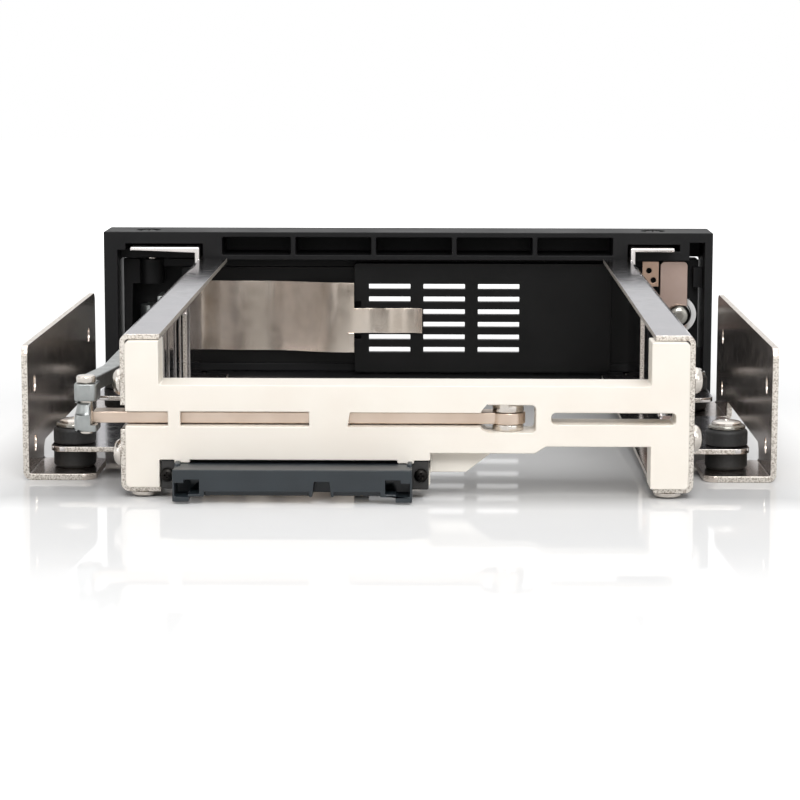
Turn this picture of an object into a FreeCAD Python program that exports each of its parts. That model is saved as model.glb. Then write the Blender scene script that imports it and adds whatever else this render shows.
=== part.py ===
"""Trayless hot-swap drive cage for one 3.5-inch drive in a 5.25-inch bay.

Millimetres. +X is to the right seen from the rear, +Y points to the front (the door), +Z is up.
The origin is the bottom centre of the whole cage. Every size below is a cell of the spreadsheet
"sizes"; every outline and place is an expression of those cells.
"""
import FreeCAD, Part
import math
import os
import re
import Sketcher

SIZES = {
    # the drive and the bay that holds it
    "drive_width": 101.6,
    "drive_height": 26.1,
    "side_gap": 1.35,
    "lift_gap": 1.4,
    "bay_centre": 1.75,
    # bezel
    "bezel_width": 148.5,
    "bezel_height": 41.4,
    "bezel_depth": 16.0,
    "bezel_round": 1.5,
    "top_bar": 6.8,
    "low_bar": 5.8,
    "hinge_wall": 3.35,
    "lock_wall": 2.0,
    "opening_round": 0.8,
    "core_wall": 1.25,
    "core_floor": 4.0,
    "core_round": 0.4,
    "core_left": 45.3,
    "core_right": 49.9,
    "rib": 1.2,
    "rib_first": 28.0,
    "rib_pitch": 19.65,
    "hinge_recess": 5.5,
    "side_core_width": 3.65,
    "side_core_rise": 4.4,
    "stop_reach": 1.6,
    "stop_depth": 2.5,
    "stop_height": 5.0,
    "stop_from_bar": 2.0,
    "well_depth": 1.6,
    "well_radius": 3.0,
    # rails, pressed from nickel-plated sheet
    "rail_base": 5.7,
    "rail_sheet": 1.0,
    "rail_short": 2.0,
    "rail_front_gap": 1.0,
    "flange": 6.4,
    "bend_out": 1.6,
    "bend_in": 0.6,
    "tab_rise": 3.2,
    "tab_round": 3.0,
    "tab_rear_from": 131.0,
    "tab_rear_to": 88.0,
    "tab_front_from": 62.0,
    "tab_front_to": 38.0,
    "window_top": 26.6,
    "window_round": 1.2,
    "ear_top": 3.2,
    "ear_low": 2.6,
    "ear_ahead": 10.5,
    "ear_behind": 6.0,
    "ear_left": 16.7,
    "ear_right": 10.5,
    "ear_gap": 0.3,
    "ear_end_gap": 1.8,
    "ear_screw_ahead": 6.8,
    "ear_screw_left": 13.5,
    "ear_screw_right": 6.2,
    "ear_screw_length": 2.8,
    "left_screw_low": 12.8,
    "left_screw_high": 26.0,
    "right_screw_low": 15.8,
    "right_screw_high": 26.6,
    "lever_slot_length": 15.0,
    "lever_slot_room": 1.2,
    # rear frame
    "frame_back": 158.0,
    "frame_depth": 8.0,
    "frame_gap": 0.1,
    "post_left": 6.4,
    "post_right": 7.2,
    "beam_low": 12.0,
    "beam_top": 26.0,
    "ledge_depth": 2.0,
    "ledge_height": 3.0,
    "slot_gap": 0.3,
    "frame_round": 0.9,
    "post_bore_depth": 4.6,
    "lug_low": 9.4,
    "lug_right": 12.7,
    "lug_step": 3.0,
    "notch_left": 17.9,
    "notch_right": 25.4,
    "notch_low": 13.4,
    "span_left": 27.4,
    "span_low": 14.7,
    "seat_relief_left": 38.4,
    "seat_relief": 0.55,
    "bridge_wall": 1.6,
    "first_bridge": 41.25,
    "first_bridge_width": 2.3,
    "second_bridge": 12.65,
    "second_bridge_width": 7.3,
    "spare_slot_left": 28.4,
    "spare_slot_right": 51.3,
    "spare_slot_low": 18.8,
    "spare_slot_height": 2.2,
    # ejector lever, push rod and their pins
    "lever_low": 18.6,
    "lever_sheet": 2.1,
    "pivot_x": 20.5,
    "pivot_radius": 1.5,
    "eye_radius": 3.2,
    "pocket_half": 5.0,
    "pocket_low": 17.3,
    "pocket_height": 5.1,
    "pocket_slope": 1.2,
    "pivot_seat": 2.6,
    "bush_radius": 2.9,
    "lever_width": 5.0,
    "lever_lead": 0.5,
    "nose_x": 10.0,
    "nose_half": 6.0,
    "nose_round": 3.5,
    "link_x": 57.5,
    "link_behind": 3.0,
    "link_radius": 1.2,
    "link_room": 0.35,
    "link_head": 1.8,
    "link_head_rise": 1.4,
    "block_width": 4.2,
    "block_low": 17.4,
    "block_high": 20.4,
    "block_boss": 2.1,
    "rod_eye_low": 23.0,
    "rod_eye_high": 26.2,
    "rod_low": 24.4,
    "rod_width": 3.2,
    "rod_height": 2.7,
    "rod_jog": 2.4,
    "jog_length": 16.0,
    "rod_plate_rise": 0.6,
    "rod_plate_sheet": 2.8,
    "rod_plate_rim": 1.1,
    "running_gap": 0.05,
    # door
    "door_gap": 0.4,
    "door_side_gap": 0.5,
    "door_inset": 0.4,
    "hinge_round": 7.0,
    "door_right": 71.6,
    "door_wall": 2.2,
    "door_rim": 2.0,
    "slab_behind": 0.5,
    "hinge_pin_radius": 1.5,
    "hinge_pin_length": 6.0,
    "hinge_bore_depth": 1.7,
    "crank_reach": 7.0,
    "crank_half": 1.6,
    "crank_round": 1.4,
    "crank_pin_radius": 1.0,
    "crank_pin_rise": 4.0,
    "crank_low": 19.8,
    "crank_sheet": 3.0,
    "crank_hub_radius": 3.0,
    "crank_hub_low": 14.0,
    "knuckle_low": 13.6,
    "knuckle_high": 28.0,
    "link_slack": 0.5,
    "lock_x": 66.4,
    "lock_z": 21.0,
    "lock_block": 12.6,
    "barrel_radius": 4.6,
    "core_radius": 3.1,
    "cam_back": 3.2,
    "cam_sheet": 1.2,
    "cam_gap": 0.4,
    "cam_low": 3.4,
    "cam_left": 4.6,
    "cam_right": 2.1,
    "cam_bore": 1.5,
    "nut_radius": 2.9,
    "nut_rise": 2.4,
    "key_depth": 6.0,
    "key_half": 2.0,
    "key_width": 1.0,
    "window_low": 10.0,
    "window_high": 30.5,
    "vent_window_right": 31.0,
    "finger_pull_left": 34.5,
    # door liner with its raised, slotted panel
    "liner_sheet": 2.0,
    "liner_left": 56.0,
    "panel_left": 13.2,
    "panel_right": 49.8,
    "panel_from_bar": 0.7,
    "panel_below_bar": 1.1,
    "panel_face": 4.0,
    "notch_depth": 3.0,
    "notch_run": 1.6,
    "vent_left": 9.6,
    "vent_width": 10.2,
    "vent_pitch": 13.4,
    "vent_low": 11.55,
    "vent_height": 1.25,
    "vent_rise": 3.12,
    # leaf spring
    "spring_sheet": 0.4,
    "spring_low": 11.6,
    "spring_high": 28.8,
    "tongue_low": 16.4,
    "tongue_high": 22.5,
    "tongue_end": 3.5,
    "hem": 1.5,
    "rivet_x": 52.5,
    "rivet_inset": 3.5,
    "rivet_radius": 0.9,
    "rivet_head": 1.5,
    "rivet_rise": 0.7,
    # side brackets and their dampers
    "bracket_sheet": 1.2,
    "bracket_back": 135.2,
    "bracket_front": 35.7,
    "bracket_low": 4.07,
    "bracket_high": 30.3,
    "bracket_foot_rear": 19.2,
    "bracket_foot_front": 22.3,
    "bracket_arch": 8.7,
    "bracket_flange": 14.0,
    "mount_back": 126.65,
    "mount_pitch": 79.25,
    "mount_low": 10.0,
    "mount_rise": 11.84,
    "mount_radius": 1.6,
    "bracket_round": 2.0,
    "foot_round": 2.5,
    "arch_slope": 1.5,
    "damper_gap": 5.25,
    "damper_inset": 8.7,
    "damper_rear": 125.0,
    "damper_front": 47.0,
    "damper_radius": 4.15,
    "damper_groove": 2.8,
    "damper_height": 7.9,
    "damper_bore": 1.7,
    "washer_radius": 3.7,
    "washer_sheet": 0.8,
    "damper_head": 2.9,
    "damper_head_rise": 0.8,
    # sata connector
    "plug_reach": 7.0,
    "plug_left": 41.0,
    "plug_right": 2.8,
    "plug_low": 5.4,
    "plug_high": 11.4,
    "plug_lip": 1.0,
    "plug_block": 3.0,
    "plug_ear": 3.0,
    "plug_ear_sheet": 2.5,
    "plug_ear_low": 6.45,
    "plug_ear_high": 11.9,
    "plug_screw": 0.8,
    "plug_screw_head": 1.3,
    "plug_screw_grip": 4.0,
    "key_wall": 0.4,
    "key_run": 2.5,
    "key_notch_run": 4.5,
    "key_notch_low": 3.4,
    "key_notch_high": 4.1,
    "key_recess_depth": 5.0,
    "divider_left": 15.1,
    "divider_right": 12.3,
    "divider_top": 3.8,
    "tongue_left": 35.0,
    "tongue_right": 1.4,
    "socket_reach": 6.0,
    "socket_nose": 4.0,
    "socket_low": 8.2,
    "socket_high": 14.0,
    "socket_mouth_low": 10.0,
    "socket_mouth_rise": 1.3,
    "contact_pitch": 1.27,
    "contact_width": 0.6,
    "contact_sheet": 0.25,
    "contact_length": 4.4,
    "contact_first": 34.15,
    "power_first": 10.5,
    # screws
    "screw_head": 2.5,
    "screw_rise": 1.5,
    "post_screw_rise": 1.0,
    "screw_shank": 1.2,
    "screw_length": 5.0,
    "recess_radius": 1.1,
    "recess_depth": 0.7,
}

doc = FreeCAD.newDocument("drive_cage")
sheet = doc.addObject("Spreadsheet::Sheet", "sizes")
for row, (alias, number) in enumerate(SIZES.items(), 1):
    sheet.set(f"A{row}", str(number))
    sheet.setAlias(f"A{row}", alias)
doc.recompute()

UP = FreeCAD.Vector(0, 0, 1)
parts = {}


def bound(text):
    """Turn a formula of size names into an expression of the spreadsheet's cells."""
    return re.sub(r"\b(?!(?:sin|cos|tan|sqrt|min|max)\b)[a-z][a-z_]*", r"sizes.\g<0>", text)


def value(text):
    """Give a formula's number."""
    result = sheet.evalExpression(bound(text))
    return float(getattr(result, "Value", result))


PLUG_BACK = "(frame_back + plug_reach)"
RIM = f"(({PLUG_BACK} - bezel_depth) / 2)"


def back(distance):
    """Y of a plane that lies behind the bezel's rear rim."""
    return f"({RIM} - ({distance}))"


def ahead(distance):
    """Y of a plane that lies in front of the bezel's rear rim."""
    return f"({RIM} + ({distance}))"


def inner(side, outward):
    """X of a plane that lies outward of a rail's inner face; side is -1 or 1."""
    return f"(bay_centre + {side} * (drive_width / 2 + side_gap + ({outward})))"


BAY_FLOOR = "(rail_base + rail_sheet)"
BAY_ROOF = "(rail_base + rail_sheet + drive_height + lift_gap)"
OPEN_LEFT = "(-bezel_width / 2 + hinge_wall)"
OPEN_RIGHT = "(bezel_width / 2 - lock_wall)"
OPEN_TOP = "(bezel_height - top_bar)"
DOOR_LOW = "(low_bar + door_gap)"
DOOR_TOP = "(bezel_height - top_bar - door_gap)"
DOOR_FACE = "(bezel_depth - door_inset)"
HINGE_X = "(-bezel_width / 2 + hinge_wall + door_side_gap + hinge_round)"
HINGE_Y = ahead("bezel_depth - door_inset - hinge_round")
SLAB_Y = ahead("bezel_depth - door_inset - hinge_round - slab_behind")
CRANK_X = f"({HINGE_X} + crank_reach * sqrt(0.5))"
CRANK_Y = f"({HINGE_Y} - crank_reach * sqrt(0.5))"
SLOT_MIDDLE_X = f"({HINGE_X} + crank_reach * (1 + sqrt(0.5)) / 2)"
LEVER_TOP = "(lever_low + lever_sheet)"
FRAME_MIDDLE = back("frame_back - frame_depth / 2")
FRAME_FRONT = back("frame_back - frame_depth")
LINK_Y = f"({FRAME_MIDDLE} - link_behind)"
LINK_BORE = "(link_radius + link_room)"
DAMPER_HALF = inner(1, "rail_sheet + damper_gap + damper_radius")
BRACKET_HALF = f"({DAMPER_HALF} + damper_inset)"
ROD_X = "(-link_x + rod_jog)"


# ---------------------------------------------------------------- sketches and features

def origin_plane(body, role):
    """Find one of a body's own origin planes or axes."""
    return [item for item in body.Origin.OriginFeatures if item.Role == role][0]


def new_body(label):
    """Start a sub-part."""
    body = doc.addObject("PartDesign::Body", label)
    body.Label = label
    return body


def new_sketch(body, name, plane, level, across="0", along="0"):
    """Attach a sketch to a body's origin plane at a level, its own origin moved in the plane."""
    sketch = body.newObject("Sketcher::SketchObject", f"{body.Name}_{name}")
    sketch.AttachmentSupport = (origin_plane(body, f"{plane}_Plane"), [""])
    sketch.MapMode = "FlatFace"
    sign = "-" if plane == "XZ" else ""
    for letter, text in (("x", across), ("y", along), ("z", f"{sign}({level})")):
        sketch.setExpression(f"AttachmentOffset.Base.{letter}", bound(text))
    return sketch


def bind(sketch, kind, where, text, number):
    """Add one dimension to a sketch and tie it to its formula."""
    index = sketch.addConstraint(Sketcher.Constraint(kind, *where, number))
    sketch.setExpression(f"Constraints[{index}]", bound(text))


def corner_arc(before, point, after, radius):
    """Arc that rounds a corner, drawn anticlockwise, with its two tangent points."""
    first = (before - point).normalize()
    second = (after - point).normalize()
    half = first.getAngle(second) / 2
    run = radius / math.tan(half)
    middle = (first + second).normalize()
    centre = point + middle * (radius / math.sin(half))
    start = point + first * run
    end = point + second * run
    crown = centre - middle * radius
    leftward = (crown - start).cross(end - crown).z > 0
    arc = Part.Arc(start, crown, end) if leftward else Part.Arc(end, crown, start)
    return start, (arc, leftward), end


def draw_outline(sketch, corners):
    """Draw a closed outline; a corner is (x, y) or (x, y, radius), all formulas."""
    count = len(corners)
    points = [FreeCAD.Vector(value(c[0]), value(c[1]), 0) for c in corners]
    starts = list(points)
    ends = list(points)
    arcs = {}
    for i, corner in enumerate(corners):
        if len(corner) == 3:
            radius = value(corner[2])
            starts[i], arcs[i], ends[i] = corner_arc(points[i - 1], points[i],
                                                     points[(i + 1) % count], radius)
    lines = [sketch.addGeometry(Part.LineSegment(ends[i], starts[(i + 1) % count]))
             for i in range(count)]
    for i, corner in enumerate(corners):
        before, after = lines[i - 1], lines[i]
        if i in arcs:
            shape, leftward = arcs[i]
            arc = sketch.addGeometry(shape)
            first, second = (1, 2) if leftward else (2, 1)
            sketch.addConstraint(Sketcher.Constraint("Tangent", before, 2, arc, first))
            sketch.addConstraint(Sketcher.Constraint("Tangent", after, 1, arc, second))
            bind(sketch, "Radius", (arc,), corner[2], value(corner[2]))
            point = sketch.addGeometry(Part.Point(points[i]), True)
            sketch.addConstraint(Sketcher.Constraint("PointOnObject", point, 1, before))
            sketch.addConstraint(Sketcher.Constraint("PointOnObject", point, 1, after))
            where = (point, 1)
        else:
            sketch.addConstraint(Sketcher.Constraint("Coincident", before, 2, after, 1))
            where = (after, 1)
        bind(sketch, "DistanceX", where, corner[0], points[i].x)
        bind(sketch, "DistanceY", where, corner[1], points[i].y)


def draw_circle(sketch, x, y, radius):
    """Draw a circle from formulas."""
    centre = FreeCAD.Vector(value(x), value(y), 0)
    circle = sketch.addGeometry(Part.Circle(centre, UP, value(radius)))
    bind(sketch, "Radius", (circle,), radius, value(radius))
    bind(sketch, "DistanceX", (circle, 3), x, centre.x)
    bind(sketch, "DistanceY", (circle, 3), y, centre.y)


def draw(sketch, loops):
    """Draw outlines (lists of corners) and circles (three formulas in a tuple)."""
    for loop in loops:
        if isinstance(loop, tuple):
            draw_circle(sketch, *loop)
        else:
            draw_outline(sketch, loop)


def rectangle(left, right, low, high, radius=None):
    """Corners of a rectangle, rounded if a radius is given."""
    corners = [(left, low), (right, low), (right, high), (left, high)]
    return [corner + (radius,) for corner in corners] if radius else corners


def pad(body, name, plane, low, high, *loops):
    """Add material between two levels of a plane's axis."""
    sketch = new_sketch(body, name, plane, low)
    draw(sketch, loops)
    feature = body.newObject("PartDesign::Pad", f"{body.Name}_{name}_pad")
    feature.Profile = sketch
    feature.Reversed = plane == "XZ"
    feature.setExpression("Length", bound(f"({high}) - ({low})"))
    sketch.Visibility = False
    doc.recompute()
    return feature


def cut(body, name, plane, low, high, *loops):
    """Take material away between two levels of a plane's axis."""
    before = body.Shape.Volume
    sketch = new_sketch(body, name, plane, low)
    draw(sketch, loops)
    feature = body.newObject("PartDesign::Pocket", f"{body.Name}_{name}_cut")
    feature.Profile = sketch
    feature.Reversed = plane != "XZ"
    feature.setExpression("Length", bound(f"({high}) - ({low})"))
    doc.recompute()
    if body.Shape.Volume > before - 1e-6:
        raise RuntimeError(f"{body.Label}: {name} cuts nothing")
    return feature


def turned(body, name, axis, x, y, z, profile, groove=False):
    """Turn a profile of (radius, along) corners about an axis through x, y, z."""
    plane = "XY" if axis == "Y" else "XZ"
    if axis == "Y":
        sketch = new_sketch(body, name, plane, z, x, y)
    else:
        sketch = new_sketch(body, name, plane, y, x, z)
    if axis == "X":
        profile = [(c[1], c[0]) + tuple(c[2:]) for c in profile]
    draw(sketch, [profile])
    kind = "PartDesign::Groove" if groove else "PartDesign::Revolution"
    feature = body.newObject(kind, f"{body.Name}_{name}_turn")
    feature.Profile = sketch
    feature.ReferenceAxis = (sketch, ["H_Axis" if axis == "X" else "V_Axis"])
    doc.recompute()
    return feature


def round_edges(body, name, radius, chosen):
    """Fillet the edges that a test picks out."""
    shape = body.Shape
    names = [f"Edge{i}" for i, edge in enumerate(shape.Edges, 1) if chosen(edge)]
    if not names:
        raise RuntimeError(f"{body.Label}: {name} finds no edge")
    base = body.Tip
    feature = body.newObject("PartDesign::Fillet", f"{body.Name}_{name}")
    feature.Base = (base, names)
    feature.setExpression("Radius", bound(radius))
    doc.recompute()
    return feature


def keep(item, label):
    """Register a finished sub-part under its node name."""
    item.Label = label
    parts[label] = item
    return item


def group(label, bodies):
    """Join identical loose pieces in one node."""
    compound = doc.addObject("Part::Compound", f"{label}_set")
    compound.Links = bodies
    return keep(compound, label)


def lies_on(edge, axis, level):
    """Whether an edge lies in a plane across an axis."""
    box = edge.BoundBox
    low, high = {"X": (box.XMin, box.XMax), "Y": (box.YMin, box.YMax),
                 "Z": (box.ZMin, box.ZMax)}[axis]
    return abs(low - level) < 1e-4 and abs(high - level) < 1e-4


# ---------------------------------------------------------------- bezel

def ear_outline(side, gap, end_gap, top, root):
    """L-shaped section of a rail's front ear; top is 1 for the upper ear, -1 for the lower."""
    reach = "ear_left" if side < 0 else "ear_right"
    edge = "bezel_height - ear_top" if top > 0 else "ear_low"
    outer = f"({edge}) + {top} * ({gap})"
    under = f"({edge}) - {top} * (rail_sheet + ({gap}))"
    far = inner(side, f"{reach} + ({end_gap})")
    near = inner(side, f"-({gap})")
    wall = inner(side, f"rail_sheet + ({gap})")
    return [(near, root), (near, outer), (far, outer), (far, under), (wall, under), (wall, root)]


def ear_screw_spots():
    """Places of the screws that hold the rails' upper ears."""
    return [(inner(-1, "ear_screw_left"), ahead("ear_screw_ahead")),
            (inner(1, "ear_screw_right"), ahead("ear_screw_ahead"))]


def core_spans():
    """Left and right ends of the pockets between the bezel's ribs."""
    ribs = [f"(-rib_first + {i} * rib_pitch)" for i in range(4)]
    lefts = ["-core_left"] + [f"{x} + rib / 2" for x in ribs]
    rights = [f"{x} - rib / 2" for x in ribs] + ["core_right"]
    return zip(lefts, rights)


def make_bezel():
    """Moulded front frame, cored out behind, with slots for the rails' ears."""
    body = new_body("bezel_frame")
    half = "(bezel_width / 2)"
    pad(body, "ring", "XZ", RIM, ahead("bezel_depth"),
        rectangle(f"-{half}", half, "0", "bezel_height"),
        rectangle(OPEN_LEFT, OPEN_RIGHT, "low_bar", OPEN_TOP, "opening_round"))
    for row, low, high in (("top", f"{OPEN_TOP} + core_wall", "bezel_height - core_wall"),
                           ("low", "core_wall", "low_bar - core_wall")):
        cut(body, f"{row}_cores", "XZ", RIM, ahead("bezel_depth - core_floor"),
            *[rectangle(left, right, low, high, "core_round") for left, right in core_spans()])
    for side in (-1, 1):
        tag = "left" if side < 0 else "right"
        cut(body, f"upper_slot_{tag}", "XZ", RIM, ahead("ear_ahead + ear_gap"),
            ear_outline(side, "ear_gap", "ear_end_gap", 1, f"{OPEN_TOP} - ear_gap"))
        cut(body, f"lower_slot_{tag}", "XZ", RIM, ahead("ear_ahead + ear_gap"),
            ear_outline(side, "ear_gap", "ear_end_gap", -1, "low_bar + ear_gap"))
    cut(body, "side_core", "XZ", RIM, ahead("bezel_depth - core_floor"),
        rectangle(f"{OPEN_RIGHT} - side_core_width", OPEN_RIGHT, f"{OPEN_TOP} - opening_round",
                  f"{OPEN_TOP} + side_core_rise"))
    cut(body, "hinge_recess", "XZ", RIM, ahead("hinge_recess"),
        rectangle(OPEN_LEFT, inner(-1, "rail_sheet + ear_gap"), f"{OPEN_TOP} - opening_round",
                  "bezel_height - ear_top - rail_sheet - ear_gap"))
    for i, (x, y) in enumerate(ear_screw_spots()):
        cut(body, f"screw_well_{i}", "XY", "bezel_height - well_depth", "bezel_height + 1",
            (x, y, "well_radius"))
        cut(body, f"screw_hole_{i}", "XY", "bezel_height - ear_top", "bezel_height + 1",
            (x, y, "screw_shank + ear_gap"))
    for name, low, high in (("upper_bore", OPEN_TOP, f"{OPEN_TOP} + hinge_bore_depth"),
                            ("lower_bore", "low_bar - hinge_bore_depth", "low_bar")):
        cut(body, name, "XY", low, high, (HINGE_X, HINGE_Y, "hinge_pin_radius + running_gap / 2"))
    stop_left = "door_right - stop_reach"
    stop_right = f"{OPEN_RIGHT} + lock_wall / 2"
    low = "low_bar + stop_from_bar"
    high = f"{OPEN_TOP} - stop_from_bar"
    pad(body, "door_stops", "XZ", f"{SLAB_Y} - door_gap - stop_depth", f"{SLAB_Y} - door_gap",
        rectangle(stop_left, stop_right, low, f"{low} + stop_height"),
        rectangle(stop_left, stop_right, f"{high} - stop_height", high))
    front = value(ahead("bezel_depth"))
    wide = value(half)
    tall = value("bezel_height")
    near = value("bezel_round")
    round_edges(body, "front_round", "bezel_round",
                lambda e: lies_on(e, "Y", front) and
                (abs(e.CenterOfMass.x) > wide - near
                 or abs(e.CenterOfMass.z - tall / 2) > tall / 2 - near))
    return keep(body, "bezel_frame")


# ---------------------------------------------------------------- rails

def make_rail(side):
    """C-section rail with windows, outward damper tabs and two front ears."""
    tag = "left" if side < 0 else "right"
    body = new_body(f"rail_{tag}")
    lip = inner(side, "-flange")
    wall_in = inner(side, "0")
    wall_out = inner(side, "rail_sheet")
    roof_out = f"{BAY_ROOF} + rail_sheet"
    rear = back("frame_back - rail_short")
    pad(body, "channel", "XZ", rear, back("rail_front_gap"),
        [(wall_out, "rail_base", "bend_out"), (lip, "rail_base"), (lip, BAY_FLOOR),
         (wall_in, BAY_FLOOR, "bend_in"), (wall_in, BAY_ROOF, "bend_in"), (lip, BAY_ROOF),
         (lip, roof_out), (wall_out, roof_out, "bend_out")])
    tab_low = f"({BAY_FLOOR} + tab_rise - rail_sheet)"
    far = f"{side} * ({DAMPER_HALF} + damper_radius)"
    low_x, high_x = sorted((inner(side, "-1"), inner(side, "rail_sheet + 1")), key=value)
    for name in ("rear", "front"):
        start, end = back(f"tab_{name}_from"), back(f"tab_{name}_to")
        cut(body, f"{name}_window", "YZ", low_x, high_x,
            rectangle(start, end, f"{tab_low} + rail_sheet", "window_top", "window_round"))
        pad(body, f"{name}_tab", "XY", tab_low, f"{tab_low} + rail_sheet",
            [(wall_in, start), (far, start, "tab_round"), (far, end, "tab_round"),
             (wall_in, end)],
            (f"{side} * {DAMPER_HALF}", back(f"damper_{name}"), "damper_groove + running_gap"))
    for name, top, root, tip in (("upper", 1, BAY_ROOF, f"({OPEN_TOP} + ear_gap)"),
                                 ("lower", -1, BAY_FLOOR, "(low_bar - ear_gap)")):
        pad(body, f"{name}_ear", "XZ", back("ear_behind"), back("ear_gap"),
            ear_outline(side, "0", "0", top, root))
        pad(body, f"{name}_tongue", "XZ", back("ear_gap"), ahead("ear_ahead"),
            ear_outline(side, "0", "0", top, tip))
    x, y = ear_screw_spots()[0 if side < 0 else 1]
    cut(body, "ear_hole", "XY", "bezel_height - ear_top - 2 * rail_sheet",
        "bezel_height - ear_top + rail_sheet", (x, y, "screw_shank + running_gap"))
    cut(body, "side_holes", "YZ", low_x, high_x,
        *[(FRAME_MIDDLE, z, "screw_shank + running_gap") for z in side_screw_heights(side)])
    cut(body, "post_hole", "XY", "rail_base - 1", f"{BAY_FLOOR} + 1",
        (post_screw_x(side), FRAME_MIDDLE, "screw_shank + running_gap"))
    if side < 0:
        cut(body, "lever_slot", "YZ", low_x, high_x,
            rectangle(f"{rear} - lever_slot_room - 1", f"{rear} + lever_slot_length",
                      "lever_low - lever_slot_room", f"{LEVER_TOP} + lever_slot_room",
                      "window_round"))
    return keep(body, f"rail_{tag}")


def side_screw_heights(side):
    """Heights of the two screws through a rail's wall into the rear frame."""
    tag = "left" if side < 0 else "right"
    return f"{tag}_screw_low", f"{tag}_screw_high"


def post_screw_x(side):
    """X of the screw under one of the rear frame's posts."""
    return inner(side, "-post_left / 2") if side < 0 else inner(side, "-post_right / 2")


# ---------------------------------------------------------------- rear frame

def make_rear_frame():
    """Moulded cross frame with posts, a slotted beam and the connector's seat."""
    body = new_body("rear_frame")
    left = inner(-1, "-frame_gap")
    right = inner(1, "-frame_gap")
    post_l = inner(-1, "-post_left")
    post_r = inner(1, "-post_right")
    foot = f"({BAY_FLOOR} + frame_gap)"
    head = f"({BAY_ROOF} - frame_gap)"
    rear = back("frame_back")
    ledge_front = f"({FRAME_FRONT} + ledge_depth)"
    seat_l = "-(plug_left + slot_gap)"
    seat_r = "(plug_right + slot_gap)"
    seat_top = "(plug_high + running_gap)"
    relief = f"({seat_top} + seat_relief)"
    lug_l = "(plug_right + plug_ear + slot_gap)"
    pad(body, "plate", "XZ", rear, FRAME_FRONT,
        [(left, foot, "frame_round"), (seat_l, foot), (seat_l, seat_top),
         ("-seat_relief_left", seat_top), ("-seat_relief_left", relief), ("0", relief),
         ("0", seat_top), (seat_r, seat_top), (seat_r, foot), (lug_l, foot), (lug_l, "lug_low"),
         ("lug_right", "lug_low"), ("notch_left", "notch_low"), ("notch_right", "notch_low"),
         ("span_left", "span_low"), (post_r, "span_low"), (post_r, foot),
         (right, foot, "frame_round"), (right, head, "frame_round"), (post_r, head),
         (post_r, "beam_top", "core_round"), (post_l, "beam_top", "core_round"), (post_l, head),
         (left, head, "frame_round")])
    pad(body, "ledge", "XZ", FRAME_FRONT, ledge_front,
        rectangle(f"{post_l} - 1", f"{post_r} + 1", "beam_top - ledge_height", "beam_top"))
    slot_low = "(lever_low - slot_gap)"
    slot_top = f"({LEVER_TOP} + slot_gap)"
    cut(body, "lever_slot", "XZ", rear, ledge_front,
        rectangle(f"{left} - 1", "pivot_x", slot_low, slot_top))
    pocket_r = "pivot_x + pocket_half"
    pocket_l = "pivot_x - pocket_half"
    pocket_top = "pocket_low + pocket_height"
    cut(body, "pivot_pocket", "XZ", rear, FRAME_FRONT,
        [(f"{pocket_l} + pocket_slope", "pocket_low"), (pocket_r, "pocket_low", "opening_round"),
         (pocket_r, pocket_top, "opening_round"), (f"{pocket_l} + pocket_slope", pocket_top),
         (pocket_l, f"{slot_top} + core_round"), (pocket_l, f"{slot_low} - core_round")])
    cut(body, "pivot_bore", "XY", "pocket_low - pivot_seat - slot_gap",
        f"{pocket_top} + pivot_seat + slot_gap",
        ("pivot_x", FRAME_MIDDLE, "pivot_radius + running_gap / 2"))
    cut(body, "spare_slot", "XZ", rear, FRAME_FRONT,
        rectangle("spare_slot_left", "spare_slot_right", "spare_slot_low",
                  "spare_slot_low + spare_slot_height", "opening_round"))
    bridges = []
    for name in ("first_bridge", "second_bridge"):
        bridges.append(rectangle(f"-{name} - {name}_width / 2", f"-{name} + {name}_width / 2",
                                 f"{slot_low} - slot_gap", f"{slot_top} + slot_gap"))
    pad(body, "bridges", "XZ", rear, f"{rear} + bridge_wall", *bridges)
    cut(body, "lug_step", "XZ", rear, f"{rear} + lug_step",
        [(lug_l, "lug_low - slot_gap"), ("lug_right + slot_gap", "lug_low - slot_gap"),
         ("notch_left + slot_gap", "notch_low"), (lug_l, "notch_low")])
    for side in (-1, 1):
        tag = "left" if side < 0 else "right"
        low_x, high_x = sorted((inner(side, "-screw_length"), inner(side, "1")), key=value)
        cut(body, f"side_bores_{tag}", "YZ", low_x, high_x,
            *[(FRAME_MIDDLE, z, "screw_shank + running_gap / 2")
              for z in side_screw_heights(side)])
        cut(body, f"post_bore_{tag}", "XY", f"{foot} - 1", f"{foot} + post_bore_depth",
            (post_screw_x(side), FRAME_MIDDLE, "screw_shank + running_gap / 2"))
    cut(body, "ear_bores", "XZ", rear, f"{rear} + plug_screw_grip + slot_gap",
        *[(x, PLUG_SCREW_Z, "plug_screw + running_gap") for x in plug_screw_spots()])
    return keep(body, "rear_frame")


PLUG_SCREW_Z = "((plug_ear_low + plug_ear_high) / 2)"


def plug_screw_spots():
    """X of the two screws through the connector's ears."""
    return "-plug_left - plug_ear / 2 - frame_gap", "plug_right + plug_ear / 2 + frame_gap"


# ---------------------------------------------------------------- brackets and dampers

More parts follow.
